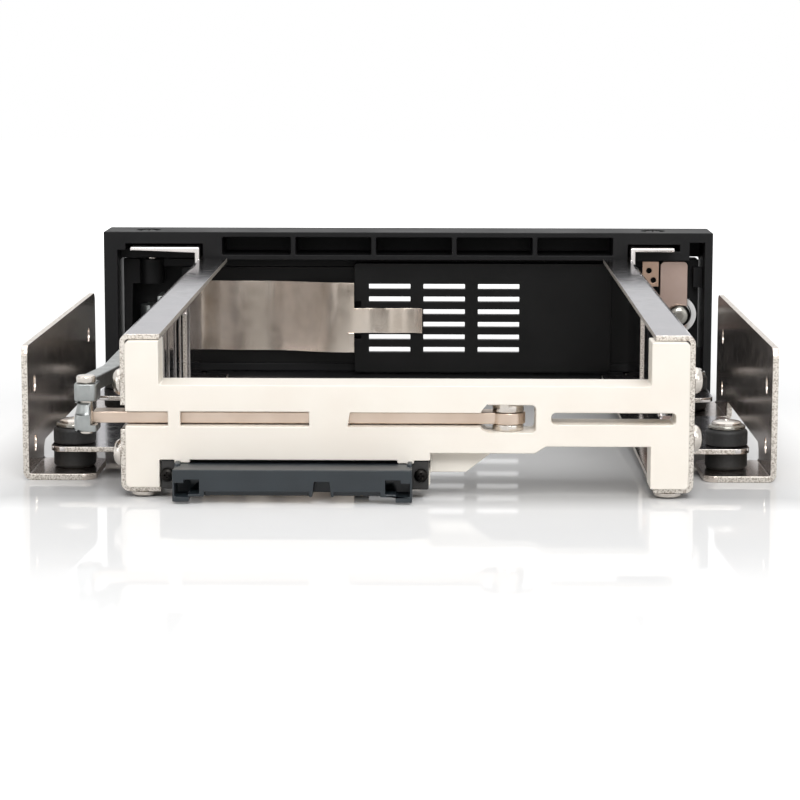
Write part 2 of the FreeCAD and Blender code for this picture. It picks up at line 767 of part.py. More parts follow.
def make_bracket(side):
    """Nickel-plated side plate with two feet, an arch between them and four screw holes."""
    tag = "left" if side < 0 else "right"
    body = new_body(f"side_bracket_{tag}")
    outer = f"{side} * {BRACKET_HALF}"
    wall_in = f"{side} * ({BRACKET_HALF} - bracket_sheet)"
    lip = f"{side} * ({BRACKET_HALF} - bracket_flange)"
    low_x, high_x = sorted((outer, wall_in), key=value)
    rear, front = back("bracket_back"), back("bracket_front")
    heel, toe = back("bracket_back - bracket_foot_rear"), back("bracket_front + bracket_foot_front")
    knee = "(bracket_low + 2 * bend_out)"
    pad(body, "wall", "YZ", low_x, high_x,
        [(rear, knee), (heel, knee), (f"{heel} + arch_slope", "bracket_arch", "window_round"),
         (f"{toe} - arch_slope", "bracket_arch", "window_round"), (toe, knee), (front, knee),
         (front, "bracket_high", "bracket_round"), (rear, "bracket_high", "bracket_round")])
    foot_top = "bracket_low + bracket_sheet"
    for name, start, end in (("rear_foot", rear, heel), ("front_foot", toe, front)):
        pad(body, name, "XZ", start, end,
            [(outer, f"{knee} + 0.1"), (outer, "bracket_low", "bend_out"), (lip, "bracket_low"),
             (lip, foot_top), (wall_in, foot_top, "bend_out - bracket_sheet"),
             (wall_in, f"{knee} + 0.1")])
    for i, spot in enumerate(("damper_rear", "damper_front")):
        cut(body, f"foot_hole_{i}", "XY", "bracket_low - 1", "bracket_low + bracket_sheet + 1",
            (f"{side} * {DAMPER_HALF}", back(spot), "screw_shank + running_gap"))
    holes = []
    for column in ("mount_back", "mount_back - mount_pitch"):
        for z in ("mount_low", "mount_low + mount_rise"):
            holes.append((back(column), z, "mount_radius"))
    cut(body, "mount_holes", "YZ", f"({low_x}) - 1", f"({high_x}) + 1", *holes)
    edge_x = value(lip)
    round_edges(body, "foot_corners", "foot_round",
                lambda e: lies_on(e, "X", edge_x) and e.BoundBox.YLength < 1e-4)
    return keep(body, f"side_bracket_{tag}")


def damper_places():
    """Name, X and Y of the four dampers."""
    return [(f"{end}_{'left' if side < 0 else 'right'}", f"{side} * {DAMPER_HALF}",
             back(f"damper_{end}"))
            for end in ("rear", "front") for side in (-1, 1)]


def make_dampers():
    """Rubber grommets, cup washers and shoulder screws between feet and rail tabs."""
    base = "(bracket_low + bracket_sheet)"
    groove_low = f"({BAY_FLOOR} + tab_rise - rail_sheet - running_gap)"
    groove_top = f"({BAY_FLOOR} + tab_rise + running_gap)"
    top = f"({base} + damper_height)"
    screws = []
    for name, x, y in damper_places():
        grommet = new_body(f"grommet_{name}")
        turned(grommet, "body", "Z", x, y, "0",
               [("damper_bore", base), ("damper_radius", base, "opening_round"),
                ("damper_radius", groove_low, "core_round"), ("damper_groove", groove_low),
                ("damper_groove", groove_top), ("damper_radius", groove_top, "core_round"),
                ("damper_radius", top, "opening_round"), ("damper_bore", top)])
        keep(grommet, f"grommet_{name}")
        seat = f"({top} + washer_sheet)"
        washer = new_body(f"cup_washer_{name}")
        turned(washer, "cup", "Z", x, y, "0",
               [("screw_shank + frame_gap", top), ("washer_radius", top, "washer_sheet / 4"),
                ("washer_radius", seat, "washer_sheet / 2"), ("screw_shank + frame_gap", seat)])
        keep(washer, f"cup_washer_{name}")
        head = f"({seat} + damper_head_rise)"
        screw = new_body(f"damper_screw_{name}")
        turned(screw, "screw", "Z", x, y, "0",
               [("0", "bracket_low + frame_gap"), ("screw_shank", "bracket_low + frame_gap"),
                ("screw_shank", seat), ("damper_head", seat),
                ("damper_head", head, "damper_head_rise / 2"), ("recess_radius", head),
                ("recess_radius / 2", f"{head} - recess_depth"), ("0", f"{head} - recess_depth")])
        screws.append(screw)
    group("damper_screws", screws)


# ---------------------------------------------------------------- screws

def pan_screw(name, axis, x, y, z, toward, length="screw_length", rise="screw_rise"):
    """One pan-head screw; toward is 1 when the head points along +axis."""
    body = new_body(name)
    s = f"{toward} * "
    turned(body, "screw", axis, x, y, z,
           [("0", f"{s}-({length})"), ("screw_shank", f"{s}-({length})"), ("screw_shank", "0"),
            ("screw_head", "0"), ("screw_head", f"{s}({rise})", f"({rise}) * 0.6"),
            ("recess_radius", f"{s}({rise})"), ("recess_radius / 2", f"{s}({rise} - recess_depth)"),
            ("0", f"{s}({rise} - recess_depth)")])
    return body


def make_screws():
    """Fasteners of the rails, the rear frame and the bezel."""
    sides = []
    posts = []
    for side in (-1, 1):
        for i, z in enumerate(side_screw_heights(side)):
            sides.append(pan_screw(f"frame_screw_{'lr'[side > 0]}{i}", "X",
                                   inner(side, "rail_sheet"), FRAME_MIDDLE, z, side))
        posts.append(pan_screw(f"post_screw_{'lr'[side > 0]}", "Z", post_screw_x(side),
                               FRAME_MIDDLE, "rail_base", -1, rise="post_screw_rise"))
    group("frame_side_screws", sides)
    group("post_screws", posts)
    tops = [pan_screw(f"bezel_screw_{i}", "Z", x, y, "bezel_height - well_depth", 1,
                      "ear_screw_length")
            for i, (x, y) in enumerate(ear_screw_spots())]
    group("bezel_screws", tops)


# ---------------------------------------------------------------- connector

def key_recess(side):
    """Stepped recess at an end of the connector's rear face; side is -1 or 1."""
    end = f"({'-plug_left' if side < 0 else 'plug_right'} - {side} * key_wall)"
    low = "(plug_low + plug_lip)"
    notch_low = "(plug_low + key_notch_low)"
    notch_high = "(plug_low + key_notch_high)"
    step = f"({end} - {side} * key_run)"
    inside = f"({end} - {side} * key_notch_run)"
    shoulder = f"({step} + {side} * opening_round)"
    return [(end, low), (step, low), (step, notch_low), (inside, notch_low),
            (inside, notch_high), (shoulder, notch_high), (shoulder, f"{notch_low} + frame_gap"),
            (end, f"{notch_low} + frame_gap")]


def make_connector():
    """Straight-through 22-pin connector: cable side at the rear, drive side in the bay."""
    body = new_body("sata_plug_housing")
    rear = back(PLUG_BACK)
    seat = back("frame_back + running_gap")
    tongue = "(plug_low + plug_lip)"
    pad(body, "nose", "XZ", rear, seat,
        [("-plug_left", "plug_low"), ("-plug_left + plug_block", "plug_low"),
         ("-plug_left + plug_block", tongue), ("plug_right - plug_block", tongue),
         ("plug_right - plug_block", "plug_low"), ("plug_right", "plug_low"),
         ("plug_right", "plug_high", "core_round"), ("-plug_left", "plug_high", "core_round")])
    pad(body, "ears", "XZ", f"{seat} - plug_ear_sheet", seat,
        rectangle("-plug_left - plug_ear", "-plug_left + 1", "plug_ear_low", "plug_ear_high",
                  "core_round"),
        rectangle("plug_right - 1", "plug_right + plug_ear", "plug_ear_low", "plug_ear_high",
                  "core_round"))
    cut(body, "key_recesses", "XZ", rear, f"{rear} + key_recess_depth",
        key_recess(-1), key_recess(1))
    cut(body, "divider_notch", "XZ", rear, f"{rear} + key_recess_depth",
        [("-divider_left - slot_gap", tongue), ("-divider_right + slot_gap", tongue),
         ("-divider_right", "plug_low + divider_top"), ("-divider_left", "plug_low + divider_top")])
    cut(body, "ear_holes", "XZ", f"{seat} - plug_ear_sheet", seat,
        *[(x, PLUG_SCREW_Z, "plug_screw + running_gap") for x in plug_screw_spots()])
    keep(body, "sata_plug_housing")

    socket = new_body("drive_receptacle")
    shoulder = f"({FRAME_FRONT} + socket_reach - socket_nose)"
    nose = f"({FRAME_FRONT} + socket_reach)"
    pad(socket, "neck", "XZ", f"{seat} + 2 * running_gap", f"{FRAME_FRONT} + 1",
        rectangle("-plug_left + slot_gap", "plug_right - slot_gap", "socket_low + slot_gap",
                  "plug_high - frame_gap"))
    pad(socket, "body", "XZ", f"{FRAME_FRONT} + running_gap", shoulder,
        rectangle("-plug_left", "plug_right", "socket_low", "socket_high", "core_round"))
    pad(socket, "nose", "XZ", shoulder, nose,
        rectangle("-plug_left + 1", "plug_right - 1", "socket_low + core_round",
                  "socket_high - core_round", "slot_gap"))
    mouth_top = "(socket_mouth_low + socket_mouth_rise)"
    key_top = f"({mouth_top} + plug_lip)"
    cut(socket, "mouth", "XZ", f"{shoulder} - 1", nose,
        [("-tongue_left", "socket_mouth_low"), ("-tongue_right", "socket_mouth_low"),
         ("-tongue_right", key_top), ("-tongue_right - key_width", key_top),
         ("-tongue_right - key_width", mouth_top), ("-divider_right", mouth_top),
         ("-divider_right", key_top), ("-divider_right - key_width", key_top),
         ("-divider_right - key_width", mouth_top), ("-tongue_left", mouth_top)])
    keep(socket, "drive_receptacle")

    plug_z = f"{tongue} - running_gap - contact_sheet"
    for label, start, low in (("plug_contacts", f"{rear} + core_round", plug_z),
                              ("socket_contacts", f"{shoulder} - opening_round",
                               "socket_mouth_low + running_gap")):
        strips = Part.makeCompound([])
        for first, count in (("contact_first", 15), ("power_first", 7)):
            for i in range(count):
                corner = FreeCAD.Vector(value(f"-{first} + {i} * contact_pitch"), value(start),
                                        value(low))
                strips.add(Part.makeBox(value("contact_width"), value("contact_length"),
                                        value("contact_sheet"), corner))
        feature = doc.addObject("Part::Feature", label)
        feature.Shape = strips
        keep(feature, label)

    screws = []
    for i, x in enumerate(plug_screw_spots()):
        screw = new_body(f"plug_screw_{i}")
        turned(screw, "screw", "Y", x, f"{seat} - plug_ear_sheet", PLUG_SCREW_Z,
               [("0", "-plug_screw"), ("plug_screw_head", "-plug_screw", "core_round"),
                ("plug_screw_head", "0"), ("plug_screw", "0"),
                ("plug_screw", "plug_ear_sheet + plug_screw_grip"),
                ("0", "plug_ear_sheet + plug_screw_grip")])
        screws.append(screw)
    group("plug_screws", screws)


# ---------------------------------------------------------------- lever and push rod

def make_lever():
    """Flat ejector lever: eye on its pivot, nose that pushes the drive, link block at the far end."""
    body = new_body("ejector_lever")
    rear = f"({FRAME_MIDDLE} - lever_width / 2 + lever_lead)"
    front = f"({FRAME_MIDDLE} + lever_width / 2 + lever_lead)"
    pad(body, "eye", "XY", "lever_low", LEVER_TOP, ("pivot_x", FRAME_MIDDLE, "eye_radius"))
    pad(body, "arm", "XY", "lever_low", LEVER_TOP,
        [("-link_x + 1", rear), ("pivot_x", rear), ("pivot_x", front),
         ("-nose_x + nose_half", front, "nose_round"), ("-nose_x", f"{front} + 1", "nose_round"),
         ("-nose_x - nose_half", front, "nose_round"), ("-link_x + 1", front)])
    cut(body, "bore", "XY", "lever_low - 1", f"{LEVER_TOP} + 1",
        ("pivot_x", FRAME_MIDDLE, "pivot_radius + running_gap"))
    keep(body, "ejector_lever")

    block = new_body("lever_end_block")
    pad(block, "block", "XY", "block_low", "block_high",
        rectangle("-link_x - block_width / 2", "-link_x + block_width / 2",
                  f"{LINK_Y} - block_width / 2", f"{LINK_Y} + block_width", "opening_round"))
    turned(block, "boss", "Z", "-link_x", LINK_Y, "0",
           [("0", "block_high - 1"), ("block_boss", "block_high - 1"),
            ("block_boss", "block_high"), (f"{LINK_BORE} + running_gap", "rod_eye_low - core_round"),
            ("0", "rod_eye_low - core_round")])
    cut(block, "lever_mouth", "XZ", f"{LINK_Y} - block_width", f"{LINK_Y} + block_width + 1",
        rectangle("-link_x + link_head / 2", "-link_x + block_width", "lever_low - 0.02",
                  "rod_eye_low"))
    cut(block, "bore", "XY", "block_low - 1", "rod_eye_low", ("-link_x", LINK_Y, LINK_BORE))
    keep(block, "lever_end_block")


def make_rod():
    """Cast push rod: slotted plate at the door's crank, cranked bar, eye over the link pin."""
    body = new_body("push_rod")
    pad(body, "eye", "XY", "rod_eye_low", "rod_eye_high",
        rectangle("-link_x - block_width / 2", "-link_x + block_width / 2",
                  f"{LINK_Y} - block_width / 2", f"{LINK_Y} + block_width + 1", "window_round"))
    half = "rod_width / 2"
    root = f"({LINK_Y} + block_width / 2)"
    jog = f"({root} + jog_length)"
    tip = f"({RIM} - 3 * link_radius)"
    pad(body, "bar", "XY", "rod_low", "rod_low + rod_height",
        [(f"-link_x - {half}", root), (f"-link_x + {half}", root), (f"{ROD_X} + {half}", jog),
         (f"{ROD_X} + {half}", tip), (f"{ROD_X} - {half}", tip), (f"{ROD_X} - {half}", jog)])
    half_y = "(crank_pin_radius + link_slack)"
    half_x = "(crank_reach * (1 - sqrt(0.5)) / 2 + crank_pin_radius + slot_gap)"
    plate_low = "crank_low + crank_sheet + rod_plate_rise"
    pad(body, "crank_plate", "XY", plate_low, f"{plate_low} + rod_plate_sheet",
        rectangle(f"min({SLOT_MIDDLE_X} - {half_x} - rod_plate_rim; {ROD_X} - {half})",
                  f"max({SLOT_MIDDLE_X} + {half_x} + rod_plate_rim; {ROD_X} + {half})",
                  f"{tip} - 1", f"{CRANK_Y} + {half_y} + rod_plate_rim", "opening_round"),
        rectangle(f"{SLOT_MIDDLE_X} - {half_x}", f"{SLOT_MIDDLE_X} + {half_x}",
                  f"{CRANK_Y} - {half_y}", f"{CRANK_Y} + {half_y}", "window_round"))
    cut(body, "bore", "XY", "rod_eye_low - 1", "rod_eye_high + rod_height",
        ("-link_x", LINK_Y, "link_radius + running_gap"))
    keep(body, "push_rod")

    pin = new_body("link_pin")
    head = "(rod_eye_high + running_gap)"
    tail = "(block_low - rod_plate_rise)"
    turned(pin, "pin", "Z", "-link_x", LINK_Y, "0",
           [("0", tail), ("link_radius", tail, "slot_gap"), ("link_radius", head),
            ("link_head", head), ("link_head", f"{head} + link_head_rise", "core_round"),
            ("0", f"{head} + link_head_rise")])
    keep(pin, "link_pin")


def make_pivot():
    """Lever's pivot pin and the two flanged bushes that centre the lever."""
    pin = new_body("pivot_pin")
    low = "(pocket_low - pivot_seat)"
    high = "(pocket_low + pocket_height + pivot_seat)"
    turned(pin, "pin", "Z", "pivot_x", FRAME_MIDDLE, "0",
           [("0", low), ("pivot_radius", low, "slot_gap"), ("pivot_radius", high, "slot_gap"),
            ("0", high)])
    keep(pin, "pivot_pin")
    for label, start, end in (("lower_bush", "pocket_low + running_gap", "lever_low - frame_gap"),
                              ("upper_bush", f"{LEVER_TOP} + frame_gap",
                               "pocket_low + pocket_height - running_gap")):
        bush = new_body(label)
        turned(bush, "ring", "Z", "pivot_x", FRAME_MIDDLE, "0",
               [("pivot_radius + running_gap", start), ("bush_radius", start, "frame_gap"),
                ("bush_radius", end, "frame_gap"), ("pivot_radius + running_gap", end)])
        keep(bush, label)


# ---------------------------------------------------------------- door

def make_door():
    """Moulded door: rounded hinge edge, hollow back, vent window, finger pull, lock block."""
    body = new_body("door_front")
    left = f"({HINGE_X} - hinge_round)"
    face = ahead(DOOR_FACE)
    pad(body, "slab", "XY", DOOR_LOW, DOOR_TOP,
        [(left, SLAB_Y), ("door_right", SLAB_Y), ("door_right", face, "opening_round"),
         (left, face, "hinge_round")])
    for name, low, high in (("upper_knuckle", "knuckle_high", DOOR_TOP),
                            ("lower_knuckle", DOOR_LOW, "knuckle_low")):
        pad(body, name, "XY", low, high, (HINGE_X, HINGE_Y, "crank_hub_radius"))
    hollow_left = f"({HINGE_X} + crank_hub_radius - slab_behind)"
    hollow_right = "(door_right - lock_block)"
    inside = f"({face} - door_wall)"
    cut(body, "hollow", "XZ", f"{SLAB_Y} - running_gap", inside,
        rectangle(hollow_left, hollow_right, f"{DOOR_LOW} + door_rim", f"{DOOR_TOP} - door_rim",
                  "opening_round"))
    cut(body, "crank_room", "XY", "knuckle_low", "knuckle_high",
        (HINGE_X, HINGE_Y, "hinge_round - door_rim"))
    cut(body, "crank_gap", "XY", "knuckle_low", "knuckle_high",
        rectangle(f"{HINGE_X} - 1", f"{hollow_left} + door_rim", f"{SLAB_Y} - 1", inside))
    cut(body, "vent_window", "XZ", f"{inside} - 1", f"{face} + 1",
        rectangle("-panel_left + liner_sheet", "vent_window_right", "window_low", "window_high",
                  "window_round"))
    cut(body, "finger_pull", "XZ", f"{inside} - 1", f"{face} + 1",
        rectangle("finger_pull_left", "panel_right - liner_sheet", "window_low", "window_high",
                  "tab_round"))
    cut(body, "pin_bores", "XY", f"{DOOR_LOW} - 1", f"{DOOR_TOP} + 1",
        (HINGE_X, HINGE_Y, "hinge_pin_radius + running_gap"))
    cut(body, "lock_bore", "XZ", f"{SLAB_Y} - 1", f"{face} + 1",
        ("lock_x", "lock_z", "barrel_radius + running_gap"))
    keep(body, "door_front")

    liner = new_body("door_liner")
    lid_front = f"({SLAB_Y} + liner_sheet)"
    low = f"({DOOR_LOW} + door_rim + frame_gap)"
    high = f"({DOOR_TOP} - door_rim - frame_gap)"
    pad(liner, "lid", "XZ", SLAB_Y, lid_front,
        rectangle("-liner_left", f"{hollow_right} - frame_gap", low, high, "opening_round"))
    panel_y = ahead("panel_face")
    pad(liner, "raised_panel", "XZ", panel_y, f"{SLAB_Y} - running_gap",
        rectangle("-panel_left", "panel_right", "low_bar + panel_from_bar",
                  f"{OPEN_TOP} - panel_below_bar", "opening_round"))
    pad(liner, "panel_root", "XZ", f"{SLAB_Y} - 1", f"{SLAB_Y} + 1",
        rectangle("-panel_left", "panel_right", low, high))
    cut(liner, "tray", "XZ", f"{panel_y} + liner_sheet", f"{lid_front} + 1",
        rectangle("-panel_left + liner_sheet", "panel_right - liner_sheet",
                  f"{low} + opening_round", f"{high} - opening_round", "opening_round"))
    cut(liner, "spring_notch", "XZ", f"{panel_y} - 1", f"{panel_y} + notch_depth",
        rectangle("-panel_left - 1", "-panel_left + notch_run", "tongue_low - notch_run",
                  "tongue_high + notch_run"))
    slots = []
    for column in range(3):
        x = f"-vent_left + {column} * vent_pitch"
        for level in range(6):
            z = f"vent_low + {level} * vent_rise"
            slots.append(rectangle(x, f"{x} + vent_width", z, f"{z} + vent_height"))
    cut(liner, "vents", "XZ", f"{panel_y} - 1", f"{panel_y} + liner_sheet + 1", *slots)
    keep(liner, "door_liner")


def make_crank():
    """Cast crank on the hinge line; its pin works in the push rod's slotted plate."""
    body = new_body("door_crank")
    top = "crank_low + crank_sheet"
    half = "crank_half"
    pad(body, "hub", "XY", "crank_hub_low", top, (HINGE_X, HINGE_Y, "crank_hub_radius"))
    pad(body, "arm", "XY", "crank_low", top,
        [(f"{HINGE_X} - {half}", f"{HINGE_Y} - {half}"),
         (f"{CRANK_X} - {half}", f"{CRANK_Y} - {half}", "crank_round"),
         (f"{CRANK_X} + {half}", f"{CRANK_Y} + {half}", "crank_round"),
         (f"{HINGE_X} + {half}", f"{HINGE_Y} + {half}")])
    pad(body, "lug", "XY", "crank_hub_low", top,
        rectangle(f"{HINGE_X} - {half}", f"{HINGE_X} + {half}", HINGE_Y,
                  f"{HINGE_Y} + hinge_round - door_rim - slot_gap"))
    pad(body, "pin", "XY", top, f"{top} + crank_pin_rise", (CRANK_X, CRANK_Y, "crank_pin_radius"))
    keep(body, "door_crank")


def make_hinge_pins():
    """Two short hinge pins, pressed into the bezel's bars."""
    for label, end, toward in (("hinge_pin_upper", f"{OPEN_TOP} + hinge_bore_depth - frame_gap", -1),
                               ("hinge_pin_lower", "low_bar - hinge_bore_depth + frame_gap", 1)):
        pin = new_body(label)
        tip = f"({end}) + {toward} * hinge_pin_length"
        low, high = sorted((end, tip), key=value)
        turned(pin, "pin", "Z", HINGE_X, HINGE_Y, "0",
               [("0", low), ("hinge_pin_radius", low, "slot_gap"),
                ("hinge_pin_radius", high, "slot_gap"), ("0", high)])
        keep(pin, label)


def make_spring():
    """Leaf spring on the liner: bowed strip, waisted to a wavy tongue over the raised panel."""
    depth = value("spring_sheet")
    y0 = value(f"{SLAB_Y} - running_gap")
    face = value(ahead("panel_face"))
    foot = FreeCAD.Vector(value("1 - liner_left"), y0, 0)
    left = value("-panel_left")
    plan = [(-50, y0), (-43, y0 - 0.8), (-32, y0 - 1.1), (-20, face - 0.6), (left + 1, face - 0.9),
            (-9, face - 0.45), (-5, face - 0.9), (-1, face - 0.4),
            (value("tongue_end"), face - 1.1)]
    near = [FreeCAD.Vector(x, y, 0) for x, y in plan]
    step = FreeCAD.Vector(0, -depth, 0)
    edges = []
    for offset in (FreeCAD.Vector(), step):
        curve = Part.BSplineCurve()
        curve.interpolate(Points=[point + offset for point in near],
                          InitialTangent=FreeCAD.Vector(1, 0, 0),
                          FinalTangent=FreeCAD.Vector(1, -0.5, 0))
        edges += [curve.toShape(), Part.makeLine(foot + offset, near[0] + offset)]
    edges += [Part.makeLine(foot, foot + step), Part.makeLine(near[-1], near[-1] + step)]
    wire = Part.Wire(Part.__sortEdges__(edges))
    low, high = value("spring_low"), value("spring_high")
    waist_low, waist_high = value("tongue_low"), value("tongue_high")
    strip = Part.Face(wire).extrude(FreeCAD.Vector(0, 0, high - low))
    strip.translate(FreeCAD.Vector(0, 0, low))
    reach = value("tongue_end + panel_left + 1")
    room = value("bezel_depth")
    for bottom, height in ((low - 1, waist_low - low + 1), (waist_high, high - waist_high + 1)):
        strip = strip.cut(Part.makeBox(reach, room, height,
                                       FreeCAD.Vector(left, y0 - room / 2, bottom)))
    hem = value("hem")
    for bottom, height in ((low + hem, waist_low - low - hem),
                           (waist_high + 2 * hem, high - waist_high - 2 * hem)):
        strip = strip.fuse(Part.makeBox(hem, 2 * depth, height,
                                        FreeCAD.Vector(left - hem, face - 0.75 - 3 * depth,
                                                       bottom)))
    holes = [Part.makeCylinder(value("rivet_radius + running_gap"), room,
                               FreeCAD.Vector(x, y0 - room / 2, z), FreeCAD.Vector(0, 1, 0))
             for x, z in rivet_spots()]
    strip = strip.cut(Part.makeCompound(holes))
    feature = doc.addObject("Part::Feature", "leaf_spring")
    feature.Shape = strip.Solids[0] if len(strip.Solids) == 1 else strip
    keep(feature, "leaf_spring")


def rivet_spots():
    """X and Z of the rivets that hold the leaf spring to the liner."""
    return [(value("-rivet_x"), value(z))
            for z in ("spring_low + rivet_inset", "spring_high - rivet_inset")]


def make_rivets():
    """Domed rivets through the spring's foot."""
    bodies = []
    y0 = f"({SLAB_Y} - running_gap - spring_sheet)"
    for i, (x, z) in enumerate(rivet_spots()):
        body = new_body(f"spring_rivet_{i}")
        turned(body, "rivet", "Y", str(x), y0, str(z),
               [("0", "-rivet_rise"), ("rivet_head", "-rivet_rise", "core_round"),
                ("rivet_head", "-running_gap / 2"), ("rivet_radius", "-running_gap / 2"),
                ("rivet_radius", "spring_sheet"), ("0", "spring_sheet")])
        bodies.append(body)
    group("spring_rivets", bodies)


def make_lock():
    """Key lock: barrel in the door, turning core, cam plate and its domed nut."""
    z = "lock_z"
    face = DOOR_FACE
    rear = "cam_back + cam_sheet"
    barrel = new_body("lock_barrel")
    turned(barrel, "barrel", "Y", "lock_x", RIM, z,
           [("core_radius + running_gap", face), ("barrel_radius", face),
            ("barrel_radius", f"{rear} + slot_gap"),
            ("core_radius + running_gap", f"{rear} + slot_gap")])
    keep(barrel, "lock_barrel")
    core = new_body("lock_core")
    turned(core, "core", "Y", "lock_x", RIM, z,
           [("0", f"{face} - slot_gap"), ("core_radius", f"{face} - slot_gap", "slot_gap"),
            ("core_radius", rear), ("0", rear)])
    cut(core, "keyway", "XZ", ahead(f"{face} - key_depth"), ahead(face),
        rectangle("lock_x - key_width / 2", "lock_x + key_width / 2", "lock_z - key_half",
                  "lock_z + key_half"))
    keep(core, "lock_core")
    cam = new_body("lock_cam")
    cam_top = f"({OPEN_TOP} - cam_gap)"
    pad(cam, "plate", "XZ", ahead("cam_back"), ahead(rear),
        [("lock_x - cam_left", "lock_z - cam_low", "cam_bore"),
         ("lock_x + cam_right", "lock_z - cam_low", "cam_bore"),
         ("lock_x + cam_right", cam_top, "window_round"),
         ("lock_x - cam_left", cam_top, "window_round")])
    cut(cam, "bore", "XZ", ahead("cam_back - 1"), ahead(f"{rear} + 1"),
        ("lock_x", z, "cam_bore + running_gap"))
    keep(cam, "lock_cam")
    nut = new_body("cam_nut")
    turned(nut, "dome", "Y", "lock_x", ahead("cam_back"), z,
           [("0", "-nut_rise"), ("nut_radius", "-nut_rise", "nut_rise * 0.85"),
            ("nut_radius", "-running_gap"), ("cam_bore", "-running_gap"),
            ("cam_bore", "cam_sheet - running_gap"), ("0", "cam_sheet - running_gap")])
    keep(nut, "cam_nut")


make_bezel()
for rail_side in (-1, 1):
    make_rail(rail_side)
    make_bracket(rail_side)
make_rear_frame()
make_dampers()
make_screws()
make_connector()
make_lever()
make_rod()
make_pivot()
make_door()
make_crank()
make_hinge_pins()
make_spring()
make_rivets()
make_lock()
doc.recompute()

faults = [item.Name for item in doc.Objects
          if "Invalid" in item.State or "Error" in item.State]
faults += [label for label, item in parts.items()
           if item.Shape.isNull() or not item.Shape.isValid() or not item.Shape.Solids]
if faults:
    raise SystemExit("failed: " + ", ".join(faults))
os.makedirs("parts", exist_ok=True)
for label, item in parts.items():
    item.Shape.exportStep(f"parts/{label}.step")
print(len(parts), "parts")
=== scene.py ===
"""Looks of a trayless hot-swap drive cage for a 5.25-inch bay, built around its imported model.

Metres. +X is to the right seen from the rear, +Y points to the front (the door), +Z is up.
"""
import logging
import math
from dataclasses import dataclass
from enum import Enum

import bmesh
import bpy
from mathutils import Matrix, Vector


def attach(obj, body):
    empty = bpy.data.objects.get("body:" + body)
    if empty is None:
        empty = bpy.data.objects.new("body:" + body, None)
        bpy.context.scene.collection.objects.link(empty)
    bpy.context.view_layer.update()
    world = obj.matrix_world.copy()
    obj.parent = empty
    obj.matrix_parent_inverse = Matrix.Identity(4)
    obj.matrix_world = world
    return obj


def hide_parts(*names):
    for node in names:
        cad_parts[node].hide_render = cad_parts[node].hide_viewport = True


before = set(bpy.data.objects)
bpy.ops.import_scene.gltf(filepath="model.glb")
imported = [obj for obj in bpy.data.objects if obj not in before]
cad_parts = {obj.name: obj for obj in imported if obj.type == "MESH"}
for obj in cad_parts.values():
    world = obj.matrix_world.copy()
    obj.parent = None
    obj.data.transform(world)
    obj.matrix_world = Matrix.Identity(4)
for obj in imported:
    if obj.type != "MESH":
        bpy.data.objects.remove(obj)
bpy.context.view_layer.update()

MM = 0.001
LOG = logging.getLogger("drive_cage")

# Sockets of a Mix node that mixes colours: the first colour, the second, and the mixture.
MIX_FIRST, MIX_SECOND, MIX_RESULT = 6, 7, 2
# Nearly all values of a noise pattern lie between these two.
NOISE_SPAN = (0.3, 0.7)


# ---------------------------------------------------------------- names

class Axis(Enum):
    """Direction that a rolled, brushed or moulded grain runs along."""

    X = 0
    Y = 1
    Z = 2


class Body(Enum):
    """Bodies that pieces ride on."""

    CHASSIS = "chassis"
    DOOR = "door"
    LOCK = "lock"
    EJECTOR = "ejector"
    ROD = "push_rod"


class Slot(Enum):
    """Material slots of the record."""

    BLACK_ABS = "black_abs"
    IVORY_ABS = "ivory_abs"
    NICKEL_SHEET = "nickel_sheet"
    SPRING_STEEL = "spring_steel"
    SCREW_STEEL = "screw_steel"
    ZINC_PLATE = "zinc_plate"
    ZINC_CASTING = "zinc_casting"
    SLATE_PLASTIC = "slate_plastic"
    GOLD_CONTACT = "gold_contact"
    LOCK_CHROME = "lock_chrome"
    RUBBER = "rubber"


# ---------------------------------------------------------------- materials

def linear(hex_colour: str) -> tuple[float, float, float, float]:
    """Turn an sRGB hex colour to linear light.

    Args:
        hex_colour: six hex digits.

    Returns:
        Linear red, green, blue and an alpha of 1.
    """
    parts = [int(hex_colour[i:i + 2], 16) / 255 for i in (0, 2, 4)]
    light = [c / 12.92 if c <= 0.04045 else ((c + 0.055) / 1.055) ** 2.4 for c in parts]
    return (*light, 1.0)


def add_node(tree: bpy.types.NodeTree, kind: str, settings: dict | None = None,
             links: dict | None = None, **properties: object) -> bpy.types.Node:
    """Add a shader node with its settings and links.

    Args:
        tree: the node tree.
        kind: the node's type name.
        settings: input name or number to value.
        links: input name or number to the output socket that feeds it.
        **properties: the node's own properties.

    Returns:
        The new node.
    """
    node = tree.nodes.new(kind)
    for name, setting in properties.items():
        setattr(node, name, setting)
    for name, setting in (settings or {}).items():
        node.inputs[name].default_value = setting
    for name, socket in (links or {}).items():
        tree.links.new(socket, node.inputs[name])
    return node


def blank_material(name: str) -> tuple[bpy.types.Material, bpy.types.NodeTree, bpy.types.Node]:
    """Make a material that holds only an output and a Principled shader.

    Args:
        name: the material's name.

    Returns:
        The material, its node tree and the shader.
    """
    material = bpy.data.materials.new(name)
    material.use_nodes = True
    tree = material.node_tree
    tree.nodes.clear()
    shader = add_node(tree, "ShaderNodeBsdfPrincipled")
    add_node(tree, "ShaderNodeOutputMaterial", links={"Surface": shader.outputs["BSDF"]})
    return material, tree, shader


